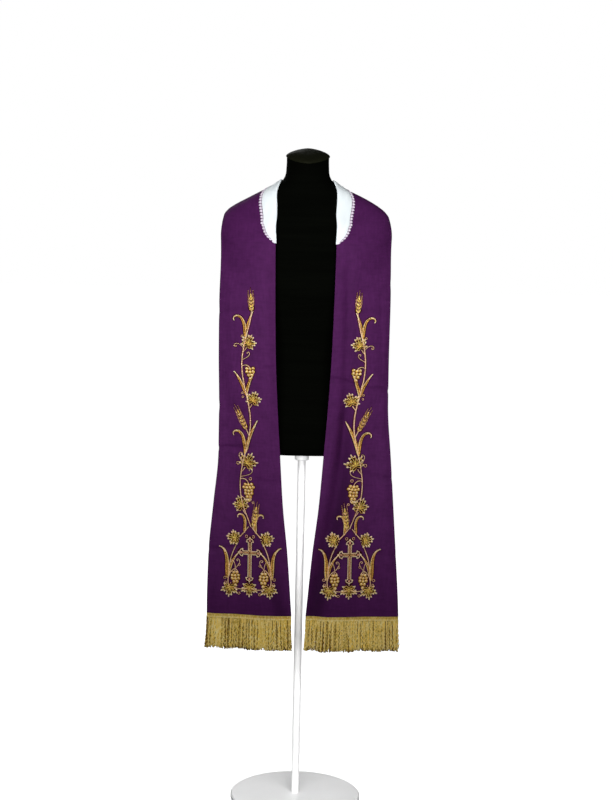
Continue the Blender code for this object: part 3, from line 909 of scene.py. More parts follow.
    def depth_tone(self) -> Grid:
        """Painted shade in the troughs and just under the level creases, a painted highlight just above
        them, and painted darkening towards the hem, at the top of the front and near the inner edge; 1
        on open cloth, 0.82 behind the shoulders.
        """
        run, across = np.meshgrid(self.run, self.across, indexing="ij")
        z = self.fronts[0, 0] + np.minimum(run, 0.0) * (self.fronts[0, 0] - self.hem)
        table = self.troughs[self.side]
        place, half, painted_shade_strength = np.moveaxis(through(table[:, 0], table[:, 1:], z), -1, 0)
        place = place + 0.012 * np.sin(z * 37.0 + self.side.value)
        tone = 1.0 - painted_shade_strength * np.exp(-np.abs((across - place) / half) ** 2.4)
        # painted shade just under each level crease, painted highlight just above it
        for p in self.presses[self.side]:
            tone = tone - 42.0 * p.depth * self.press(p, z, across, 0.0035, 0.0055)
            tone = tone + 18.0 * p.depth * self.press(p, z, across, -0.0075, 0.0080)
        # painted shade: darker towards the hem, at the top of the front and near the inner edge, as the
        # light falls off there
        tone = tone * (0.90 - 0.18 * ease(0.86, 0.54, z) - 0.08 * ease(1.32, 1.46, z)
                       - 0.09 * ease(0.35, 0.05, across) * ease(0.90, 1.10, z) * ease(1.46, 1.40, z))
        return np.clip(np.where(run > 0, 0.82, tone), 0.2, 1.1)

    def stitched(self) -> Grid:
        """Outer face with the sunk line of edge stitching."""
        width = self.width_at[:, -1:]
        near = np.minimum(self.width_at, width - self.width_at)
        sunk = 0.00045 * np.exp(-((near - 0.0070) / 0.0016) ** 2)
        rise = self.length_at - self.length_at[0:1]
        sunk = sunk + 0.00040 * np.exp(-((rise - 0.010) / 0.0018) ** 2)
        return self.outer - self.normal * sunk[..., None]

    def lay(self, out: Grid, up: Grid, lift: Grid) -> Grid:
        """Put plan points of the hanging front on the cloth.

        Args:
            out: Distance out from the middle plane.
            up: Height above the floor.
            lift: Distance off the cloth.

        Returns:
            Points in space.
        """
        run = (up - self.fronts[0, 0]) / (self.fronts[0, 0] - self.hem)
        edge = through(self.fronts[:, 0], self.fronts[:, 1:4], up)
        outer_x = edge[:, 1] if self.side is Side.LEFT else edge[:, 2]
        across = (out - edge[:, 0]) / (outer_x - edge[:, 0])
        return self.read(run, across, lift)

    def read(self, run: Grid, across: Grid, lift: Grid) -> Grid:
        """Points of the laid cloth at run and across, moved out by lift."""
        i = np.interp(run, self.run, np.arange(self.rows))
        j = np.clip(across, 0, 1) * (self.columns - 1)
        i0 = np.clip(i.astype(int), 0, self.rows - 2)
        j0 = np.clip(j.astype(int), 0, self.columns - 2)
        a, b = (i - i0)[..., None], (j - j0)[..., None]

        def at(grid: Grid) -> Grid:
            """Read one grid between its points."""
            return ((grid[i0, j0] * (1 - b) + grid[i0, j0 + 1] * b) * (1 - a)
                    + (grid[i0 + 1, j0] * (1 - b) + grid[i0 + 1, j0 + 1] * b) * a)
        return at(self.outer) + at(self.normal) * np.asarray(lift)[..., None]

    def build(self, material: bpy.types.Material) -> bpy.types.Object:
        """Build the cloth of this half."""
        verts, faces, uv = shell(self.stitched(), self.inner, self.width_at, self.length_at, 0.0006)
        if self.side is Side.RIGHT:
            faces = faces[:, ::-1]
        # painted shade: the hidden face and the rolled edges are kept a little darker than open cloth
        tone = np.full(len(verts), 0.92)
        tone[:self.outer[..., 0].size] = self.depth_tone().ravel()
        piece = make_piece("stole_cloth_" + self.side.word, verts, faces, material,
                           uv, tone)
        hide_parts("stole_" + self.side.word)
        return piece


@dataclass
class NeckGuard:
    """White linen guard round the neck, with its scalloped lace edging."""

    panels: dict[Side, StolePanel]
    wall: float = 0.0011
    seam_gap: float = 0.0006
    lace_pitch: float = 0.0089
    flat: tuple[float, float] = (0.20, 0.33)
    flat_area: float = 0.0205
    back_width: float = 0.0360
    # height on the front, width
    front: Grid = field(default_factory=lambda: np.array([
        (1.4580, 0.0020), (1.4640, 0.0070), (1.4760, 0.0180), (1.4910, 0.0260),
        (1.5120, 0.0310), (1.5300, 0.0325), (1.5600, 0.0335),]))

    def width(self, z: Grid, run: Grid) -> Grid:
        """Width of the white band at a height on the front, or past the shoulder."""
        back = np.interp(run, (0.12, 0.42, 1.0), (0.0325, 0.0345, self.back_width))
        return np.where(run > 0.12, back, through(self.front[:, 0], self.front[:, 1], z))

    def strip(self, start: Callable[[Grid, Grid], Grid], breadth: Callable[[Grid, Grid], Grid],
              columns: int, rows: int, lift: float) -> tuple[Grid, Grid]:
        """Points of a strip laid on both halves, left tip to right tip.

        Args:
            start: Distance of the strip's neck side from the neck edge.
            breadth: The strip's breadth.
            columns: Points across.
            rows: Points from a tip to the middle of the back.
            lift: Distance off the cloth.

        Returns:
            The points, and the direction off the cloth at each.
        """
        faces = []
        for side in (Side.LEFT, Side.RIGHT):
            panel = self.panels[side]
            top = panel.fronts[0, 0]
            tip = (self.front[0, 0] - top) / (top - panel.hem)
            front = np.linspace(0, 1, rows // 3, endpoint=False) * (0.12 - tip) + tip
            run = np.concatenate([front, np.linspace(0.12, 1.0, rows - rows // 3)])
            zero = np.zeros_like(run)
            z = panel.read(run, zero, zero)[:, 2]
            length = np.interp(run, panel.run, panel.width_at[:, -1])
            a, wide = start(z, run), breadth(z, run)
            t = np.linspace(0, 1, columns)
            across = (a[:, None] + wide[:, None] * t) / length[:, None]
            run2 = np.repeat(run[:, None], columns, axis=1)
            low = panel.read(run2, across, np.zeros_like(run2))
            off = panel.read(run2, across, np.ones_like(run2)) - low
            low = low + off * lift
            low[-1, :, 0], off[-1, :, 0] = 0.0, 0.0
            faces.append((low, off))
        (low_a, off_a), (low_b, off_b) = faces
        return (np.concatenate([low_a[:-1], low_b[::-1]]), np.concatenate([off_a[:-1], off_b[::-1]]))

    def build(self) -> list[bpy.types.Object]:
        """Build the guard and its lace."""
        low, off = self.strip(lambda z, r: z * 0.0, self.width, 22, 150, self.seam_gap)
        past = low[:, 0] - low[:, 1]
        past /= np.maximum(np.linalg.norm(past, axis=1, keepdims=True), 1e-9)
        wrap = [low[:, 0] + past * out - off[:, 0] * down
                for out, down in ((0.0007, 0.0031), (0.0013, 0.0020),
                                  (0.0013, 0.0009), (0.0008, 0.0001))]
        face = np.stack([past, past, past, past * 0.8 + off[:, 0] * 0.6], axis=1)
        low = np.concatenate([np.stack(wrap, axis=1), low], axis=1)
        off = np.concatenate([face, off], axis=1)
        run = np.concatenate([[0.0], np.cumsum(np.linalg.norm(np.diff(low[:, 0], axis=0), axis=1))])
        side = np.concatenate([np.zeros((len(low), 1)), np.cumsum(
            np.linalg.norm(np.diff(low, axis=1), axis=-1), axis=1)], axis=1)
        t = np.concatenate([np.zeros(4), np.linspace(0, 1, low.shape[1] - 4)])
        puff = 0.0007 * np.sin(math.pi * t) ** 0.6 * (1 + 0.3 * np.sin(run[:, None] * 55.0 + 9 * t))
        wave = 0.00025 * np.sin(run[:, None] * 120.0 + 11.0 * t)
        hem = -0.00035 * np.exp(-((side[:, -1:] - side - 0.0035) / 0.0010) ** 2)
        high = low + off * (self.wall + puff + wave + hem)[..., None]
        verts, faces, uv = shell(high, low, side, np.repeat(run[:, None], low.shape[1], axis=1), 0.0005)
        guard = make_piece("neck_guard", verts, faces, WhiteLinen().dress(), uv)
        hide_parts("collar")
        return [guard, self.lace()]

    def lace(self) -> bpy.types.Object:
        """Open scalloped edging: a footing, a mesh of crossed threads, fans and picots."""
        low, off = self.strip(lambda z, r: self.width(z, r) - 0.0004,
                              lambda z, r: 0.0036 + 0.0044 * ease(1.458, 1.472, z), 25, 420, 0.0010)
        line = low[:, 12]
        run = np.concatenate([[0.0], np.cumsum(np.linalg.norm(np.diff(line, axis=0), axis=1))])
        total = run[-1]
        scallops = int(round(total / self.lace_pitch))
        pitch = total / scallops
        LOG.info("lace edging: %.3f m of %d scallops", total, scallops)

        def on(along: Grid, over: Grid, lift: float = 0.0) -> Grid:
            """Points of the laid lace, over from 0 at the linen to 1 at the picots."""
            i = np.interp(along, run, np.arange(len(run)))
            j = np.clip(over, 0, 1) * (low.shape[1] - 1)
            i0 = np.clip(i.astype(int), 0, len(run) - 2)
            j0 = np.clip(j.astype(int), 0, low.shape[1] - 2)
            a, b = (i - i0)[..., None], (j - j0)[..., None]
            p = ((low[i0, j0] * (1 - b) + low[i0, j0 + 1] * b) * (1 - a)
                 + (low[i0 + 1, j0] * (1 - b) + low[i0 + 1, j0 + 1] * b) * a)
            return p + off[i0, j0] * lift

        sets = []
        long = np.linspace(0, total, scallops * 4 + 1)
        for over, thick in ((0.04, 0.00048), (0.33, 0.00034)):
            path = on(long, np.full_like(long, over))[None]
            sets.append(tubes(path, np.full(path.shape[:2], thick), 6))
        centre = (np.arange(scallops) + 0.5) * pitch
        for lean in (-1, 1):
            t = np.linspace(0, 1, 3)
            path = on(centre[:, None] + lean * (t - 0.5) * pitch, 0.05 + 0.31 * t + 0 * centre[:, None])
            sets.append(tubes(path, np.full(path.shape[:2], 0.00026), 4))
        t = np.linspace(0, math.pi, 8)
        for size, thick in ((1.0, 0.00090), (0.66, 0.00070), (0.34, 0.00060)):
            path = on(centre[:, None] - np.cos(t) * 0.31 * pitch * size,
                      0.36 + 0.54 * size * np.sin(t) ** 0.8 + 0 * centre[:, None])
            sets.append(tubes(path, np.full(path.shape[:2], thick), 6))
        for spoke in (-0.5, 0.0, 0.5):
            t = np.linspace(0, 1, 3)
            path = on(centre[:, None] + spoke * pitch * 0.5 * t,
                      0.36 + t * 0.50 * math.cos(spoke) + 0 * centre[:, None])
            sets.append(tubes(path, np.full(path.shape[:2], 0.00034), 4))
        t = np.linspace(0, 2 * math.pi, 7)
        path = on(centre[:, None] + np.sin(t) * 0.0010, 0.93 - 0.07 * np.cos(t) + 0 * centre[:, None])
        sets.append(tubes(path, np.full(path.shape[:2], 0.00055), 4))
        verts, faces, uv = join(sets)
        lace = make_piece("lace_edging", verts, faces, LaceThread().dress(), uv)
        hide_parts("collar_lace")
        return lace


def join(sets: Sequence[tuple[Grid, Grid, Grid]]) -> tuple[Grid, Grid, Grid]:
    """Put several sets of points, quads and flat coordinates together."""
    start, verts, faces, uvs = 0, [], [], []
    for v, f, u in sets:
        verts.append(v)
        faces.append(f + start)
        uvs.append(u)
        start += len(v)
    return np.vstack(verts), np.vstack(faces), np.vstack(uvs)


@dataclass
class HemTrim:
    """Braid heading and the twisted fringe under it, on one front."""

    panel: StolePanel
    heading_height: float = 0.0115
    fringe_end: float = 0.4240
    gap: float = 0.0003
    pitch: float = 0.00225
    strand: float = 0.00132
    seed: int = 11

    def line(self, share: Grid) -> tuple[Grid, Grid]:
        """Hem line and the way out of the cloth, at shares of its width."""
        panel = self.panel
        middle = 0.5 * (panel.outer[0] + panel.inner[0])
        out = panel.normal[0] * np.array([1.0, 1.0, 0.0])
        place = panel.width_at[0] / panel.width_at[0, -1]
        read = [np.stack([np.interp(share, place, part[:, k]) for k in range(3)], axis=-1)
                for part in (middle, out)]
        return read[0], read[1]

    def heading(self) -> bpy.types.Object:
        """Woven galloon: a ground with a braided face and a row of loops along the top."""
        top = self.panel.hem - self.gap
        length = self.panel.width_at[0, -1]
        share = np.linspace(0.0, 1.0, 160)
        line, out = self.line(share)
        rows = []
        t = np.linspace(0, 1, 15)
        swell = 0.0010 + 0.0006 * np.abs(np.sin(t * math.pi * 2.0)) ** 0.7
        for face in (1, -1):
            grid = line[:, None] + out[:, None] * (swell * face)[None, :, None]
            grid[..., 2] = top - t * self.heading_height
            rows.append(grid)
        along = np.repeat((share * length)[:, None], len(t), axis=1)
        sets = [shell(rows[0], rows[1], np.repeat(t[None] * self.heading_height, len(share), 0),
                      along, 0.0002)]
        pieces = int(length / 0.0034)
        spots = (np.arange(pieces) + 0.5) / pieces
        for level, slant, fat, depth in ((0.24, 1, 0.00075, 0.0016), (0.50, -1, 0.00075, 0.0016),
                                         (0.74, 1, 0.00165, 0.0015)):
            u = np.linspace(-1, 1, 5)
            shares = spots[:, None] + slant * u * 0.0020 / length
            base, away = self.line(np.clip(shares, 0, 1))
            path = base + away * (depth + 0.0004 * (1 - u ** 2))[None, :, None]
            path[..., 2] = top - self.heading_height * level + u * 0.0014
            sets.append(tubes(path, fat * np.sqrt(np.clip(1.06 - u ** 2, 0.05, 1)) + 0 * shares, 6))
        u = np.linspace(0, 2 * math.pi, 9)
        shares = spots[:, None] + np.cos(u) * 0.0012 / length
        base, away = self.line(np.clip(shares, 0, 1))
        path = base + away * 0.0017
        path[..., 2] = top - 0.0013 + 0.0011 * np.sin(u)
        sets.append(tubes(path, np.full(shares.shape, 0.00042), 6))
        for level, fat in ((0.055, 0.00055), (0.97, 0.0007)):
            base, away = self.line(share)
            path = (base + away * 0.0013)[None]
            path[..., 2] = top - self.heading_height * level
            sets.append(tubes(path, np.full(path.shape[:2], fat), 6))
        verts, faces, uv = join(sets)
        rng = np.random.default_rng(self.seed)
        cell = np.floor(uv[:, 1] / 0.004).astype(int) % 97
        tone = 0.78 + 0.40 * rng.random(97)[cell]
        # the points of the ground, the upper row, the lower row and the bright dots end here
        ground, upper, lower, dots = np.cumsum([len(part[0]) for part in sets[:4]])
        tone[:ground] = 0.52
        tone[ground:upper] *= 0.72
        # the loops are bright gold, and their high tone also strengthens the painted glints on them
        tone[lower:dots] = 2.1
        tone[dots:] *= 0.72
        piece = make_piece("braid_heading_" + self.panel.side.word, verts, faces,
                           FringeGold("braid_gold", twist=0.0016).dress(), uv, tone)
        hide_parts("fringe_heading_" + self.panel.side.word)
        return piece

    def fringe(self) -> bpy.types.Object:
        """Twisted strands in two layers with uneven ends."""
        rng = np.random.default_rng(self.seed + self.panel.side.value)
        top = self.panel.hem - 2 * self.gap - self.heading_height + 0.0030
        length = self.panel.width_at[0, -1]
        paths, fats, tones = [], [], []
        steps = 30
        t = np.linspace(0, 1, steps)
        for layer, depth in ((0, 0.0013), (1, -0.0011), (2, 0.0001), (3, -0.0004)):
            count = int(length / (self.pitch * (1.60 if layer == 0 else 1.0))) - 1 + layer % 2
            share = (np.arange(count) + 0.5 + 0.30 * (rng.random(count) - 0.5)) / count
            share = np.clip(share, 0.004, 0.996)
            clump = np.sin(share * 41.0 + layer) + 0.6 * np.sin(share * 97.0 + 2 * layer)
            seeds = np.cumsum(0.0050 + 0.0075 * rng.random(60)) / length - 0.01
            nearest = np.abs(share[:, None] - seeds).argmin(axis=1)
            pull = (seeds[nearest] - share) * length * self.panel.side.value
            pull = pull * (0.55, 0.30, 0.10, 0.10)[layer]
            tuft = 0.22 * rng.normal(size=60)[nearest]
            for k in range(count):
                base, away = self.line(np.array([share[k]]))
                drop = (top - self.fringe_end) * (1.0 - 0.100 * rng.random() ** 1.4
                                                  - 0.030 * (0.5 + 0.5 * math.sin(share[k] * 23.0)))
                if rng.random() < 0.12:
                    drop *= 0.91
                path = np.repeat(base, steps, axis=0)
                sway = 0.0016 * clump[k] + 0.0012 * rng.normal() + 0.0060 * (share[k] - 0.5) \
                    * self.panel.side.value
                turn = t * (30 + 26 * rng.random()) + 6.28 * rng.random()
                curl = (0.0006 + 0.0008 * t) * np.sin(turn)
                path[:, 0] += sway * t ** 1.7 + (curl + pull[k]) * np.clip(t * 3, 0, 1)
                off = depth + 0.0004 * rng.normal() * t + 0.0003 * np.sin(t * 9 + 6.28 * rng.random())
                path += away * np.clip(off, -0.0016, 0.0016)[:, None]
                path[:, 2] = top - drop * t
                paths.append(path)
                fat = self.strand * (0.82 + 0.3 * rng.random()) * (1.0, 1.0, 1.35, 1.5)[layer]
                fats.append(fat * (1.0 - 0.18 * np.sin(math.pi * t) + 0.10 * t)
                            * np.where(t > 0.97, 0.45, 1.0))
                # painted shade: the back layers are darker and each strand darkens just under the
                # heading; the wave along the twist paints highlights along each strand
                shade = (1.00, 0.08, 0.52, 0.26)[layer]
                tones.append(np.clip(shade + 0.30 * rng.normal() + tuft[k] - 0.10 * (t > 0.9)
                                     + 0.20 * np.sin(turn * 1.7)
                                     - 0.20 * (t < 0.06), 0.02, 1.30))
        verts, faces, uv = tubes(np.array(paths), np.array(fats), 6)
        tone = np.repeat(np.array(tones).ravel(), 6)
        piece = make_piece("fringe_strands_" + self.panel.side.word, verts, faces,
                           FringeGold().dress(), uv, tone)
        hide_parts("fringe_" + self.panel.side.word)
        return piece


# ---- the needlework ---------------------------------------------------------------------
Place = tuple[float, float]


class StitchSheet:
    """Collects low raised stitching in the flat plan, one set a thread."""

    def __init__(self) -> None:
        """Start with nothing sewn."""
        self.sets: dict[Thread, list[tuple[Grid, Grid, Grid]]] = {t: [] for t in Thread}

    def ribbon(self, thread: Thread, path: Grid, width: Any, height: float = 0.0006,
               base: float = 0.0001) -> None:
        """Satin stitch along a path.

        Args:
            thread: The thread.
            path: Plan points, out and up.
            width: Full width, one value or one a point.
            height: How far the stitch stands up.
            base: Height of its edges off the cloth.
        """
        width = np.broadcast_to(np.asarray(width, float), (len(path),))
        tangent = np.gradient(path, axis=0)
        tangent /= np.maximum(np.linalg.norm(tangent, axis=1, keepdims=True), 1e-9)
        side = np.stack([-tangent[:, 1], tangent[:, 0]], axis=1)
        over = np.array([-1.0, -0.62, 0.0, 0.62, 1.0])
        rise = np.array([0.0, 0.78, 1.0, 0.78, 0.0])
        flat = path[:, None] + side[:, None] * (0.5 * width[:, None] * over)[..., None]
        lift = base + height * rise * np.clip(width / width.max(), 0.25, 1.0)[:, None]
        run = np.concatenate([[0.0], np.cumsum(np.linalg.norm(np.diff(path, axis=0), axis=1))])
        plan = np.concatenate([flat, lift[..., None]], axis=-1).reshape(-1, 3)
        uv = np.stack(np.broadcast_arrays(over[None] * 0.002, run[:, None]), axis=-1).reshape(-1, 2)
        self.sets[thread].append((plan, quad_grid(len(path), 5), uv))

    def dome(self, thread: Thread, centre: Place, long: float, short: float, angle: float,
             height: float, base: float = 0.0001) -> None:
        """A padded oval, such as a berry or a grain.

        Args:
            thread: The thread.
            centre: Its middle in the plan.
            long: Half its length.
            short: Half its breadth.
            angle: Direction of its length, from out towards up.
            height: How far it stands up.
            base: Height of its edge off the cloth.
        """
        turn = np.linspace(0, 2 * math.pi, 12, endpoint=False)
        axis = np.array([math.cos(angle), math.sin(angle)])
        side = np.array([-axis[1], axis[0]])
        rings = []
        for share, rise in ((1.0, 0.0), (0.86, 0.55), (0.55, 0.9), (0.16, 1.0)):
            flat = (np.array(centre) + axis * (np.cos(turn) * long * share)[:, None]
                    + side * (np.sin(turn) * short * share)[:, None])
            rings.append(np.concatenate([flat, np.full((12, 1), base + height * rise)], axis=1))
        plan = np.vstack(rings)
        i, j = np.meshgrid(np.arange(3), np.arange(12), indexing="ij")
        k = (j + 1) % 12
        quads = np.stack([i * 12 + j, (i + 1) * 12 + j, (i + 1) * 12 + k, i * 12 + k],
                         axis=-1).reshape(-1, 4)
        top = np.array([[36 + a, 36 + a + 1, 36 + a + 2, 36 + (a + 3) % 12] for a in range(0, 9, 2)]
                       + [[36, 38, 40, 42], [42, 44, 46, 36]])
        quads = np.vstack([quads[:, ::-1], top])
        uv = (plan[:, :2] - np.array(centre)) @ np.stack([side, axis], axis=1)
        self.sets[thread].append((plan, quads, uv))

    def ring(self, thread: Thread, centre: Place, radius: float, width: float = 0.0016) -> None:
        """A round eyelet of stitching."""
        t = np.linspace(0, 2 * math.pi, 15)
        path = np.array(centre) + radius * np.stack([np.cos(t), np.sin(t)], axis=1)
        self.ribbon(thread, path, width, 0.0003 if thread is Thread.WINE else 0.0009)


class Motif(Enum):
    """What grows at a place in the design."""

    STEM = 1
    BLADE = 2
    LEAF = 3
    BUNCH = 4
    EAR = 5
    TENDRIL = 6
    EYELET = 7


@dataclass(frozen=True)
class Growth:
    """A motif that springs from a line, in millimetres and in degrees off upright."""

    motif: Motif
    out: float
    up: float
    lean: float = 0.0
    turn: float = 0.0
    curl: float = 0.0
    length: float = 0.0
    size: float = 0.0

    def path(self, middle: float, hand: int, steps: int = 24) -> Grid:
        """The path it grows along: it leans, turns evenly, and curls toward its end.

        Args:
            middle: Place of the line it springs from.
            hand: 1 as written, -1 in mirror.
            steps: Steps along the path.

        Returns:
            Points of the path in millimetres.
        """
        s = np.linspace(0.0, 1.0, steps + 1)
        angle = np.radians(self.lean + self.turn * s + self.curl * s ** 4)[1:]
        way = np.stack([hand * np.sin(angle), np.cos(angle)], axis=1) * self.length / steps
        start = np.array([[middle + hand * self.out, self.up]])
        return np.concatenate([start, start + np.cumsum(way, axis=0)])


@dataclass
class Needlework:
    """Wheat, vine and cross worked up each front, in millimetres from the middle plane.

    Every line is a growth: it springs from the vine or from the cross's middle line.
    """

    panel: StolePanel
    # the climbing vine, from the bower's peak to the top ear
    climb: tuple[Growth, ...] = (
        Growth(Motif.EAR, 0, 1286, 4, 0, 0, 5, 36),
        Growth(Motif.BLADE, 0, 1220, 4, 2, 205, 84, 7.4),
        Growth(Motif.BLADE, 0, 1222, -4, -20, 0, 70, 7.2),
        Growth(Motif.EYELET, 10, 1226, size=2.9), Growth(Motif.EYELET, -9, 1226, size=2.8),
        Growth(Motif.LEAF, 0, 1186, -52, 30, 0, 16, 34),
        Growth(Motif.TENDRIL, 0, 1196, 36, 60, 330, 42),
        Growth(Motif.TENDRIL, 0, 1166, -56, -20, 350, 40),
        Growth(Motif.BUNCH, 0, 1150, -40, -110, 0, 24, 4),
        Growth(Motif.BLADE, 0, 1078, 20, 12, 14, 68, 7.4),
        Growth(Motif.BLADE, 0, 1080, -6, -22, 0, 58, 7.4),
        Growth(Motif.EYELET, 9, 1084, size=2.8), Growth(Motif.EYELET, 10, 1074, size=2.7),
        Growth(Motif.LEAF, 0, 1046, -50, 34, 0, 13, 34),
        Growth(Motif.EAR, 0, 976, 20, 8, 0, 20, 48),
        Growth(Motif.BLADE, 0, 930, 4, 2, 200, 86, 8.2),
        Growth(Motif.BLADE, 0, 932, -10, -18, 0, 90, 8.4),
        Growth(Motif.TENDRIL, 0, 908, 44, -30, -320, 42),
        Growth(Motif.EYELET, 13, 906, size=4.6),
        Growth(Motif.LEAF, 0, 884, -52, 26, 0, 17, 42),
        Growth(Motif.TENDRIL, 0, 872, -74, -10, 300, 52),
        Growth(Motif.EYELET, -26, 868, size=4.0),
        Growth(Motif.BUNCH, 0, 866, -60, -110, 0, 28, 6),
        Growth(Motif.TENDRIL, 0, 824, -120, -30, 190, 36),
        Growth(Motif.EYELET, -22, 816, size=2.8), Growth(Motif.EYELET, -28, 808, size=2.9),
        Growth(Motif.LEAF, 0, 776, 52, -30, 0, 16, 38),
        Growth(Motif.EAR, -5, 742, -7, 0, 0, 5, 46))
    # the bower round the cross, worked again in mirror
    bower: tuple[Growth, ...] = (
        Growth(Motif.STEM, 4, 746, 144, -10, 0, 36, 3.0),
        Growth(Motif.BLADE, 15, 730, -6, 4, 200, 66, 6.8),
        Growth(Motif.LEAF, 27, 714, 80, 0, 0, 3, 32),
        Growth(Motif.EYELET, 9, 722, size=3.7),
        Growth(Motif.STEM, 35, 702, 150, 32, 0, 78, 3.0),
        Growth(Motif.BLADE, 57, 616, 2, -6, 78, 88, 10.0),
        Growth(Motif.BLADE, 55, 617, -6, -24, -22, 74, 6.6),
        Growth(Motif.STEM, 38, 641, 122, 78, 0, 52, 3.0),
        Growth(Motif.STEM, 37, 641, 226, -16, 0, 13, 2.2),
        Growth(Motif.TENDRIL, 37, 642, 4, 24, 330, 36),
        Growth(Motif.TENDRIL, 36, 642, -44, 26, 310, 38),
        Growth(Motif.EYELET, 27, 651, size=3.4),
        Growth(Motif.BUNCH, 38, 640, 170, 30, 0, 8, 5),
        Growth(Motif.EYELET, 63, 616, size=3.8), Growth(Motif.EYELET, 61, 604, size=3.3),
        Growth(Motif.LEAF, 48, 604, 172, 0, 0, 3, 36),
        Growth(Motif.STEM, 40, 592, 246, 46, 0, 36, 2.8),
        Growth(Motif.EYELET, 27, 577, size=3.7))
    keystone: Growth = Growth(Motif.LEAF, 0, 606, 180, 0, 0, 2, 36)
    # rows of berries in a bunch, by how many rows it has
    bunch_rows: dict[int, tuple[int, ...]] = field(default_factory=lambda: {
        4: (3, 3, 2, 1), 5: (2, 3, 3, 2, 1), 6: (3, 4, 3, 3, 2, 1)})
    # angle from the leaf's axis, share of its length
    leaf_rim: tuple[tuple[float, float], ...] = (
        (0, 1.0), (9, 0.80), (17, 0.86), (24, 0.62), (34, 0.50), (44, 0.74), (51, 0.70), (58, 0.88),
        (67, 0.66), (76, 0.70), (86, 0.46), (98, 0.60), (112, 0.66), (124, 0.52), (142, 0.46),
        (168, 0.16))
    # middle across and up, top, foot, reach of an arm
    cross: tuple[float, float, float, float, float] = (126, 683, 719, 609, 29)
    vine_drift: float = 16.0
    vine_sway: float = 12.0
    vine_peak: float = 855.0
    vine_pitch: float = 48.5
    hanging: tuple[float, float] = (-2.0, -7.4)

    def __post_init__(self) -> None:
        """Start the sheet of stitches."""
        self.sheet = StitchSheet()

    def curve(self, points: Sequence[Place], spacing: float = 0.0018) -> Grid:
        """A plan path in metres from points in millimetres."""
        return spline(np.array(points) * 0.001, spacing)

    def stem(self, width: float, points: Sequence[Place]) -> None:
        """A stem: a rose-gold cord with a pale line along it, on a dark wine outline that paints its
        shadow.
        """
        path = self.curve(points)
        t = np.linspace(0, 1, len(path))
        body = width * 0.001 * (0.72 + 0.30 * t)
        self.sheet.ribbon(Thread.WINE, path, body + 0.0034, 0.0003)
        self.sheet.ribbon(Thread.ROSE, path, body, 0.0010, 0.0003)
        self.sheet.ribbon(Thread.PALE, path, 0.0010, 0.0004, 0.0011)

    def blade(self, width: float, points: Sequence[Place]) -> None:
        """A long grass blade: olive and wheat satin between edges that meet at the point, one wheat and
        one pale; the pale edge and the pale tip are painted highlights.
        """
        path = self.curve(points)
        t = np.linspace(0, 1, len(path))
        body = width * 0.001 * np.clip(np.sin(math.pi * t ** 0.75) ** 0.55 * (1 - 0.45 * t), 0.14, 1)
        tangent = np.gradient(path, axis=0)
        tangent /= np.linalg.norm(tangent, axis=1, keepdims=True)
        side = np.stack([-tangent[:, 1], tangent[:, 0]], axis=1)
        self.sheet.ribbon(Thread.WINE, path, body + 0.0046, 0.0003)
        for thread, off, share in ((Thread.WHEAT, 0.27, 0.46), (Thread.OLIVE, -0.24, 0.34)):
            self.sheet.ribbon(thread, path + side * (body * off)[:, None], body * share, 0.0007, 0.0003)
        # painted highlight: a pale line down one edge and a pale tip, where light catches the blade
        self.sheet.ribbon(Thread.WHEAT, path - side * (body * 0.46)[:, None], 0.0011, 0.0009, 0.0003)
        self.sheet.ribbon(Thread.PALE, path + side * (body * 0.46)[:, None], 0.0010, 0.0009, 0.0003)
        tip = path[int(len(path) * 0.74):]
        self.sheet.ribbon(Thread.PALE, tip, 0.0021, 0.0007, 0.0007)

    def leaf(self, foot: Place, tip: Place, size: float) -> None:
        """A five-lobed vine leaf: toothed outline, raised ribs, and dark wine ground between them that
        paints the shade there.
        """
        a, b = np.array(foot) * 0.001, np.array(tip) * 0.001
        axis = (b - a) / np.linalg.norm(b - a)
        across = np.array([-axis[1], axis[0]])
        heart = a + axis * size * 0.00024
        reach = size * 0.00068

        def at(angle: float, radius: float) -> Grid:
            """A place on the leaf by angle from its axis, in degrees, and share of its length."""
            turn = math.radians(angle)
            return heart + (axis * math.cos(turn) + across * math.sin(turn)) * radius * reach

        for hand in (-1, 1):
            rim = [at(hand * t, r * (1.0 + 0.05 * math.sin(7 * t + size))) for t, r in self.leaf_rim]
            for p, q in zip(rim[:-1], rim[1:]):
                self.sheet.ribbon(Thread.WINE, spline([heart, 0.5 * (p + q)], 0.003),
                                  np.linalg.norm(p - q) + 0.0016, 0.0003)
                self.sheet.ribbon(Thread.WINE, spline([p, q], 0.0018), 0.0048, 0.0003)
            for k, (p, q) in enumerate(zip(rim[:-1], rim[1:])):
                self.sheet.ribbon((Thread.PALE, Thread.BRIGHT, Thread.WHEAT)[k % 3],
                                  spline([p, q], 0.0018), 0.0016, 0.0011, 0.0003)
            for k in (2, 5, 7, 9, 12):
                way = rim[k] - heart
                self.sheet.dome(Thread.PALE, tuple(rim[k]), 0.0028, 0.0021,
                                math.atan2(way[1], way[0]), 0.0015, 0.0003)
            for k, (angle, long) in enumerate(((18, 0.66), (40, 0.50), (74, 0.52), (98, 0.42))):
                stroke = spline([at(hand * angle * 0.8, 0.16), at(hand * angle, long)], 0.0018)
                self.sheet.ribbon((Thread.BRIGHT, Thread.OLIVE)[k % 2], stroke, 0.0016, 0.0007, 0.0003)
        for angle, long in ((0, 0.94), (58, 0.78), (-58, 0.78), (112, 0.56), (-112, 0.56)):
            rib = spline([heart, at(angle * 0.96, long * 0.5), at(angle, long)], 0.0018)
            thin = 0.0017 * np.linspace(1.15, 0.7, len(rib))
            self.sheet.ribbon(Thread.BRIGHT, rib, thin, 0.0011, 0.0005)
        self.sheet.dome(Thread.PALE, tuple(at(0, 1.0)), 0.0028, 0.0018,
                        math.atan2(axis[1], axis[0]), 0.0015, 0.0003)
        self.sheet.dome(Thread.BRIGHT, tuple(heart), 0.0022, 0.0022, 0.0, 0.0014, 0.0004)

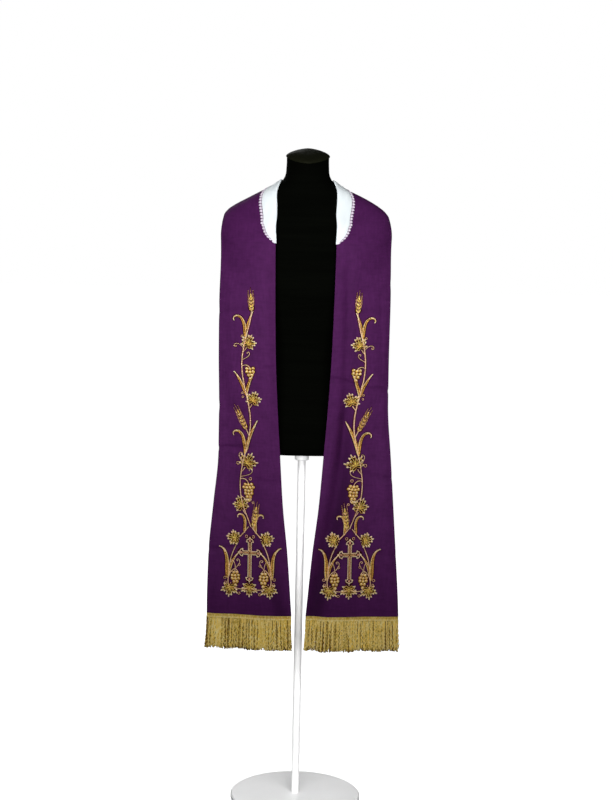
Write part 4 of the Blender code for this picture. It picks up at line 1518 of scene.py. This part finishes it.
    def bunch(self, top: Place, foot: Place, rows: Sequence[int]) -> None:
        """A bunch of grapes: padded berries on dark wine outlines that paint the shade between them,
        each with a painted highlight towards its top.
        """
        a, b = np.array(top) * 0.001, np.array(foot) * 0.001
        down = b - a
        side = np.array([-down[1], down[0]]) / np.linalg.norm(down)
        for i, count in enumerate(rows):
            centre = a + down * (i + 0.35) / (len(rows) - 0.3)
            for j in range(count):
                shift = (j - (count - 1) / 2) * 0.0080
                drop = -abs(shift) * 0.16 * down / np.linalg.norm(down)
                spot = centre + side * shift + drop
                self.sheet.dome(Thread.WINE, tuple(spot), 0.0061, 0.0061, 0.0, 0.0004)
                self.sheet.dome(Thread.OLIVE, tuple(spot), 0.0044, 0.0042, 0.0, 0.0008, 0.0003)
                # painted highlight: the bright dome sits a little above the berry's middle and the pale
                # dome higher and to the side, where light falls
                lit = spot + np.array([0.0, 0.0005])
                self.sheet.dome(Thread.BRIGHT, tuple(lit), 0.0034, 0.0031, 0.7, 0.0017, 0.0007)
                self.sheet.dome(Thread.PALE, tuple(lit + 0.0006), 0.0024, 0.0020, 0.7, 0.0010, 0.0017)

    def ear(self, foot: Place, top: Place, thread: Thread) -> None:
        """An ear of wheat: paired grains on a stalk, each with an awn."""
        a, b = np.array(foot) * 0.001, np.array(top) * 0.001
        way = b - a
        long = np.linalg.norm(way)
        way /= long
        side = np.array([-way[1], way[0]])
        angle = math.atan2(way[1], way[0])
        pairs = max(4, int(round(long / 0.0098)))
        for k in range(pairs):
            spot = a + way * long * (k + 0.45) / (pairs + 0.35)
            size = 1.0 - 0.25 * k / pairs
            for hand in (-1, 1):
                grain = spot + side * hand * 0.0030 * size
                lean = angle + hand * 0.42
                self.sheet.dome(Thread.WINE, tuple(grain), 0.0084 * size, 0.0050 * size, lean, 0.0004)
                self.sheet.dome(thread, tuple(grain), 0.0050 * size, 0.0021 * size, lean, 0.0016, 0.0003)
                # painted highlight: a small pale dome on one side of every other grain
                if k % 2 == 0:
                    self.sheet.dome(Thread.PALE, tuple(grain - side * hand * 0.0006),
                                    0.0024 * size, 0.0009, lean, 0.0008, 0.0012)
                out = np.array([math.cos(lean), math.sin(lean)])
                start = grain + out * 0.0048 * size
                end = start + out * (0.0075 - 0.0030 * k / pairs) + way * (0.0090 + 0.005 * k / pairs)
                awn = spline([start, start + out * 0.0036 + way * 0.003, end], 0.002)
                self.sheet.ribbon(Thread.WINE, awn, 0.0038, 0.0002)
                self.sheet.ribbon(Thread.ROSE, awn, 0.0008 if k > 1 else 0.0011, 0.0005, 0.0002)
        self.sheet.dome(thread, tuple(b), 0.0060, 0.0023, angle, 0.0016, 0.0003)
        self.sheet.ribbon(Thread.WINE, spline([b, b + way * 0.021], 0.002), 0.0028, 0.0002)
        self.sheet.ribbon(Thread.ROSE, spline([b, b + way * 0.019], 0.002), 0.0008, 0.0005, 0.0002)
        self.sheet.ribbon(Thread.ROSE, spline([a, b], 0.002), 0.0012, 0.0004, 0.0006)

    def passion_cross(self) -> None:
        """An upright cross with budded ends, worked as two lines round a twisted filling."""
        x, y, top, foot, arm = self.cross
        wide = 3.9
        ends = (((x, top), (0, 1)), ((x, foot), (0, -1)),
                ((x - arm, y), (-1, 0)), ((x + arm, y), (1, 0)))
        for (ex, ey), (dx, dy) in ends:
            sx, sy = -dy, dx
            bud = 6.0
            self.sheet.ribbon(Thread.WINE, self.curve([(x, y), (ex - dx * 9, ey - dy * 9)], 0.0022),
                              0.0126, 0.0003)
            self.sheet.dome(Thread.WINE, ((ex - dx * 5.5) * 0.001, (ey - dy * 5.5) * 0.001),
                            0.0102, 0.0110, math.atan2(dy, dx), 0.0004)
            for hand in (-1, 1):
                ax, ay = sx * hand, sy * hand
                # back from the arm's end, and out from its middle line
                edge = ((bud + 5, wide), (bud + 3.5, wide + 4.5), (bud - 1.5, wide + 3.2), (3.5, 3.6))
                tips = [(x + ax * wide + dx * wide, y + ay * wide + dy * wide)]
                tips += [(ex - dx * back + ax * out, ey - dy * back + ay * out) for back, out in edge]
                tips.append((ex, ey))
                for a, b in zip(tips[:-1], tips[1:]):
                    self.sheet.ribbon(Thread.PALE, self.curve([a, b], 0.0022), 0.0021, 0.0009, 0.0003)
                self.sheet.dome(Thread.PALE, (tips[2][0] * 0.001, tips[2][1] * 0.001),
                                0.0019, 0.0019, 0.0, 0.0013, 0.0002)
            self.sheet.dome(Thread.PALE, (ex * 0.001, ey * 0.001), 0.0024, 0.0019,
                            math.atan2(dy, dx), 0.0014, 0.0002)
            self.sheet.dome(Thread.ROSE, ((ex - dx * 7) * 0.001, (ey - dy * 7) * 0.001),
                            0.0040, 0.0030, math.atan2(dy, dx), 0.0010, 0.0003)
            length = math.hypot(ex - x, ey - y) - 12
            t = np.arange(2.0, length, 0.9)
            swing = np.sin(t * 1.15) * 1.7
            for phase, thread in ((1, Thread.WHEAT), (-1, Thread.ROSE)):
                path = np.stack([x + dx * t + sx * swing * phase, y + dy * t + sy * swing * phase], 1)
                self.sheet.ribbon(thread, path * 0.001, 0.0014, 0.0007, 0.0003)

    def vine(self, up: float) -> float:
        """Place of the swaying vine at a height, both in millimetres."""
        drift = self.vine_drift * float(ease(690.0, 830.0, up))
        return self.cross[0] + drift + self.vine_sway * math.cos((up - self.vine_peak) / self.vine_pitch)

    def grow(self, growth: Growth, middle: float, hand: int) -> None:
        """Work one motif of the design.

        Args:
            growth: The motif.
            middle: Place of the line it springs from, in millimetres.
            hand: 1 as written, -1 in mirror.
        """
        path, size = growth.path(middle, hand), growth.size
        end, way = path[-1], path[-1] - path[-2]
        if growth.motif is Motif.STEM:
            self.stem(size, path)
        elif growth.motif is Motif.BLADE:
            self.blade(size, path)
        elif growth.motif is Motif.TENDRIL:
            for thread, width, height, lift in ((Thread.WINE, 0.0044, 0.0002, 0.0),
                                                (Thread.ROSE, 0.0017, 0.0009, 0.0002),
                                                (Thread.PALE, 0.0008, 0.0003, 0.0009)):
                self.sheet.ribbon(thread, self.curve(path, 0.0014), width, height, lift)
        elif growth.motif is Motif.EYELET:
            for thread, share, width in ((Thread.WINE, 0.80, 0.0044), (Thread.ROSE, 0.80, 0.0017),
                                         (Thread.PALE, 0.84, 0.0009)):
                self.sheet.ring(thread, tuple(path[0] * 0.001), size * share * 0.001, width)
        else:
            self.stem(2.5, path)
            way = way / np.linalg.norm(way)
            if growth.motif is Motif.LEAF:
                self.leaf(end, end + way * 0.88 * size, size)
            elif growth.motif is Motif.EAR:
                upright = abs(growth.lean) < 10
                self.ear(end, end + way * size, Thread.BRIGHT if upright else Thread.WHEAT)
            else:
                drop = np.array([self.hanging[0] * hand, self.hanging[1] * size])
                self.bunch(end, end + drop, self.bunch_rows[int(size)])

    def draw(self) -> StitchSheet:
        """Work every motif on the sheet."""
        vine = [(self.vine(up), up) for up in range(746, 1290, 10)]
        self.stem(3.4, vine)
        for growth in self.climb:
            self.grow(growth, self.vine(growth.up), 1)
        self.grow(self.keystone, self.cross[0], 1)
        for growth in self.bower:
            for hand in (-1, 1):
                self.grow(growth, self.cross[0], hand)
        self.passion_cross()
        return self.sheet

    def build(self, finishes: dict[Thread, bpy.types.Material]) -> list[bpy.types.Object]:
        """Lay the stitching on the cloth, one piece a thread."""
        pieces = []
        for thread, sets in self.draw().sets.items():
            plan, faces, uv = join(sets)
            up = plan[:, 1] - 0.0045 * ease(0.744, 0.676, plan[:, 1])
            verts = self.panel.lay(plan[:, 0], up, plan[:, 2] + 0.0001)
            if self.panel.side is Side.RIGHT:
                faces = faces[:, ::-1]
            pieces.append(make_piece(f"{thread.name.lower()}_stitching_{self.panel.side.word}",
                                     verts, faces, finishes[thread], uv))
        return pieces


# ---- stand and studio ---------------------------------------------------------------------
@dataclass
class Stand:
    """The frame's own pole, socket and base, given a powder coat."""

    nodes: dict[str, bpy.types.Object]
    names: tuple[str, ...] = ("stand_base", "stand_pole", "stand_socket")

    def dress(self) -> None:
        """Give the carried-over nodes their finish."""
        coat = WhiteLacquer().dress()
        for name in self.names:
            for slot in self.nodes[name].material_slots:
                slot.material = coat


@dataclass
class Studio:
    """Pale floor, soft light and the camera."""

    nodes: dict[str, bpy.types.Object]
    eye: Vector = field(default_factory=lambda: Vector((0.009, -4.300, 1.560)))
    target: Vector = field(default_factory=lambda: Vector((0.009, -0.120, 1.070)))
    roll: float = math.radians(1.2)
    view_height: float = 2.0

    def camera(self) -> None:
        """Long lens from a little above the shoulders, level but for a slight roll."""
        data = bpy.data.cameras.new("camera")
        away = self.target - self.eye
        data.sensor_width = 36.0
        data.lens = 36.0 * away.length / self.view_height
        data.clip_end = 60.0
        obj = bpy.data.objects.new("camera", data)
        bpy.context.scene.collection.objects.link(obj)
        turn = away.to_track_quat("-Z", "Y").to_matrix().to_4x4()
        obj.matrix_world = Matrix.Translation(self.eye) @ turn @ Matrix.Rotation(self.roll, 4, "Z")
        bpy.context.scene.camera = obj

    def lamp(self, name: str, at: tuple[float, float, float], to: tuple[float, float, float],
             size: tuple[float, float], power: float,
             color: tuple[float, float, float] = (1.0, 1.0, 1.0)) -> bpy.types.Object:
        """One soft rectangular lamp."""
        data = bpy.data.lights.new(name, "AREA")
        data.shape, data.size, data.size_y = "RECTANGLE", size[0], size[1]
        data.energy, data.color = power, color
        obj = bpy.data.objects.new(name, data)
        bpy.context.scene.collection.objects.link(obj)
        way = (Vector(to) - Vector(at)).to_track_quat("-Z", "Y").to_matrix().to_4x4()
        obj.matrix_world = Matrix.Translation(Vector(at)) @ way
        return obj

    def floor(self) -> None:
        """A wide pale floor."""
        verts = [(-14, -8, 0), (14, -8, 0), (14, 26, 0), (-14, 26, 0)]
        mesh = bpy.data.meshes.new("floor")
        mesh.from_pydata(verts, [], [(0, 1, 2, 3)])
        obj = bpy.data.objects.new("floor", mesh)
        bpy.context.scene.collection.objects.link(obj)
        b = Bench("pale_floor")
        grain = b.noise(b.place(), 1.5, 3.0)
        color = b.blend((0.90, 0.90, 0.90), (0.94, 0.94, 0.94), grain)
        mesh.materials.append(b.finish(Base_Color=color, Roughness=0.9, Specular_IOR_Level=0.1,
                                       Emission_Color=(1.0, 1.0, 1.0, 1.0), Emission_Strength=0.96))
        obj.visible_diffuse = False
        obj.visible_glossy = False

    def world(self) -> None:
        """Near-white surround with a low even fill."""
        world = bpy.data.worlds.new("surround")
        world.use_nodes = True
        tree = world.node_tree
        tree.nodes.clear()
        path = tree.nodes.new("ShaderNodeLightPath")
        seen, fill = tree.nodes.new("ShaderNodeBackground"), tree.nodes.new("ShaderNodeBackground")
        seen.inputs[0].default_value, seen.inputs[1].default_value = (1, 1, 1, 1), 1.0
        fill.inputs[0].default_value, fill.inputs[1].default_value = (0.95, 0.97, 1.0, 1), 0.055
        mix, end = tree.nodes.new("ShaderNodeMixShader"), tree.nodes.new("ShaderNodeOutputWorld")
        tree.links.new(path.outputs["Is Camera Ray"], mix.inputs[0])
        tree.links.new(fill.outputs[0], mix.inputs[1])
        tree.links.new(seen.outputs[0], mix.inputs[2])
        tree.links.new(mix.outputs[0], end.inputs[0])
        bpy.context.scene.world = world

    def build(self) -> None:
        """Set up the studio."""
        self.camera()
        self.floor()
        self.world()
        for name, x, power in (("key_left", -0.66, 7.7), ("key_right", 0.62, 7.0)):
            key = self.lamp(name, (x, -1.70, 1.84), (x * 0.1, -0.05, 1.31), (0.9, 0.6), power)
            key.data.spread = math.radians(104.0)
        self.lamp("back", (-1.2, 2.6, 2.4), (0.0, 0.0, 1.3), (2.4, 1.6), 30.0)
        wash = self.lamp("stand_wash", (0.0, -2.4, 0.9), (0.0, 0.0, 0.45), (1.2, 1.2), 60.0)
        lit = bpy.data.collections.new("stand_wash_reaches")
        for name in Stand.names:
            lit.objects.link(self.nodes[name])
        wash.light_linking.receiver_collection = lit
        bpy.context.scene.view_settings.view_transform = "Standard"


def main() -> None:
    """Build every sub-assembly in order and say what each sheet was cut to."""
    logging.basicConfig(level=logging.INFO, format="%(message)s")
    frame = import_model()
    Studio(frame["nodes"]).build()
    form = DressForm()
    form.build()
    Stand(frame["nodes"]).dress()
    cloth = PurpleCloth().dress()
    finishes = {thread: StitchGold(thread).dress() for thread in Thread}
    panels = {side: StolePanel(form, side) for side in Side}
    for side, panel in panels.items():
        piece = panel.build(cloth)
        trim = HemTrim(panel)
        sewn = [trim.heading(), trim.fringe()] + Needlework(panel).build(finishes)
        area, length, width = panel_cut(panel)
        LOG.info("%s cut: %.3f x %.3f m, %.4f m2", piece.name, width, length, area)
    neck = NeckGuard(panels)
    guard, lace = neck.build()


def panel_cut(panel: StolePanel) -> tuple[float, float, float]:
    """Flat area, greatest length and greatest width of one stole half's cut."""
    g = panel.outer
    a, b = g[1:, :-1] - g[:-1, :-1], g[:-1, 1:] - g[:-1, :-1]
    c, d = g[1:, :-1] - g[1:, 1:], g[:-1, 1:] - g[1:, 1:]
    area = 0.5 * (np.linalg.norm(np.cross(a, b), axis=-1).sum()
                  + np.linalg.norm(np.cross(c, d), axis=-1).sum())
    return float(area), float(panel.length_at[-1].max()), float(panel.width_at[0, -1])


if __name__ == "__main__":
    main()
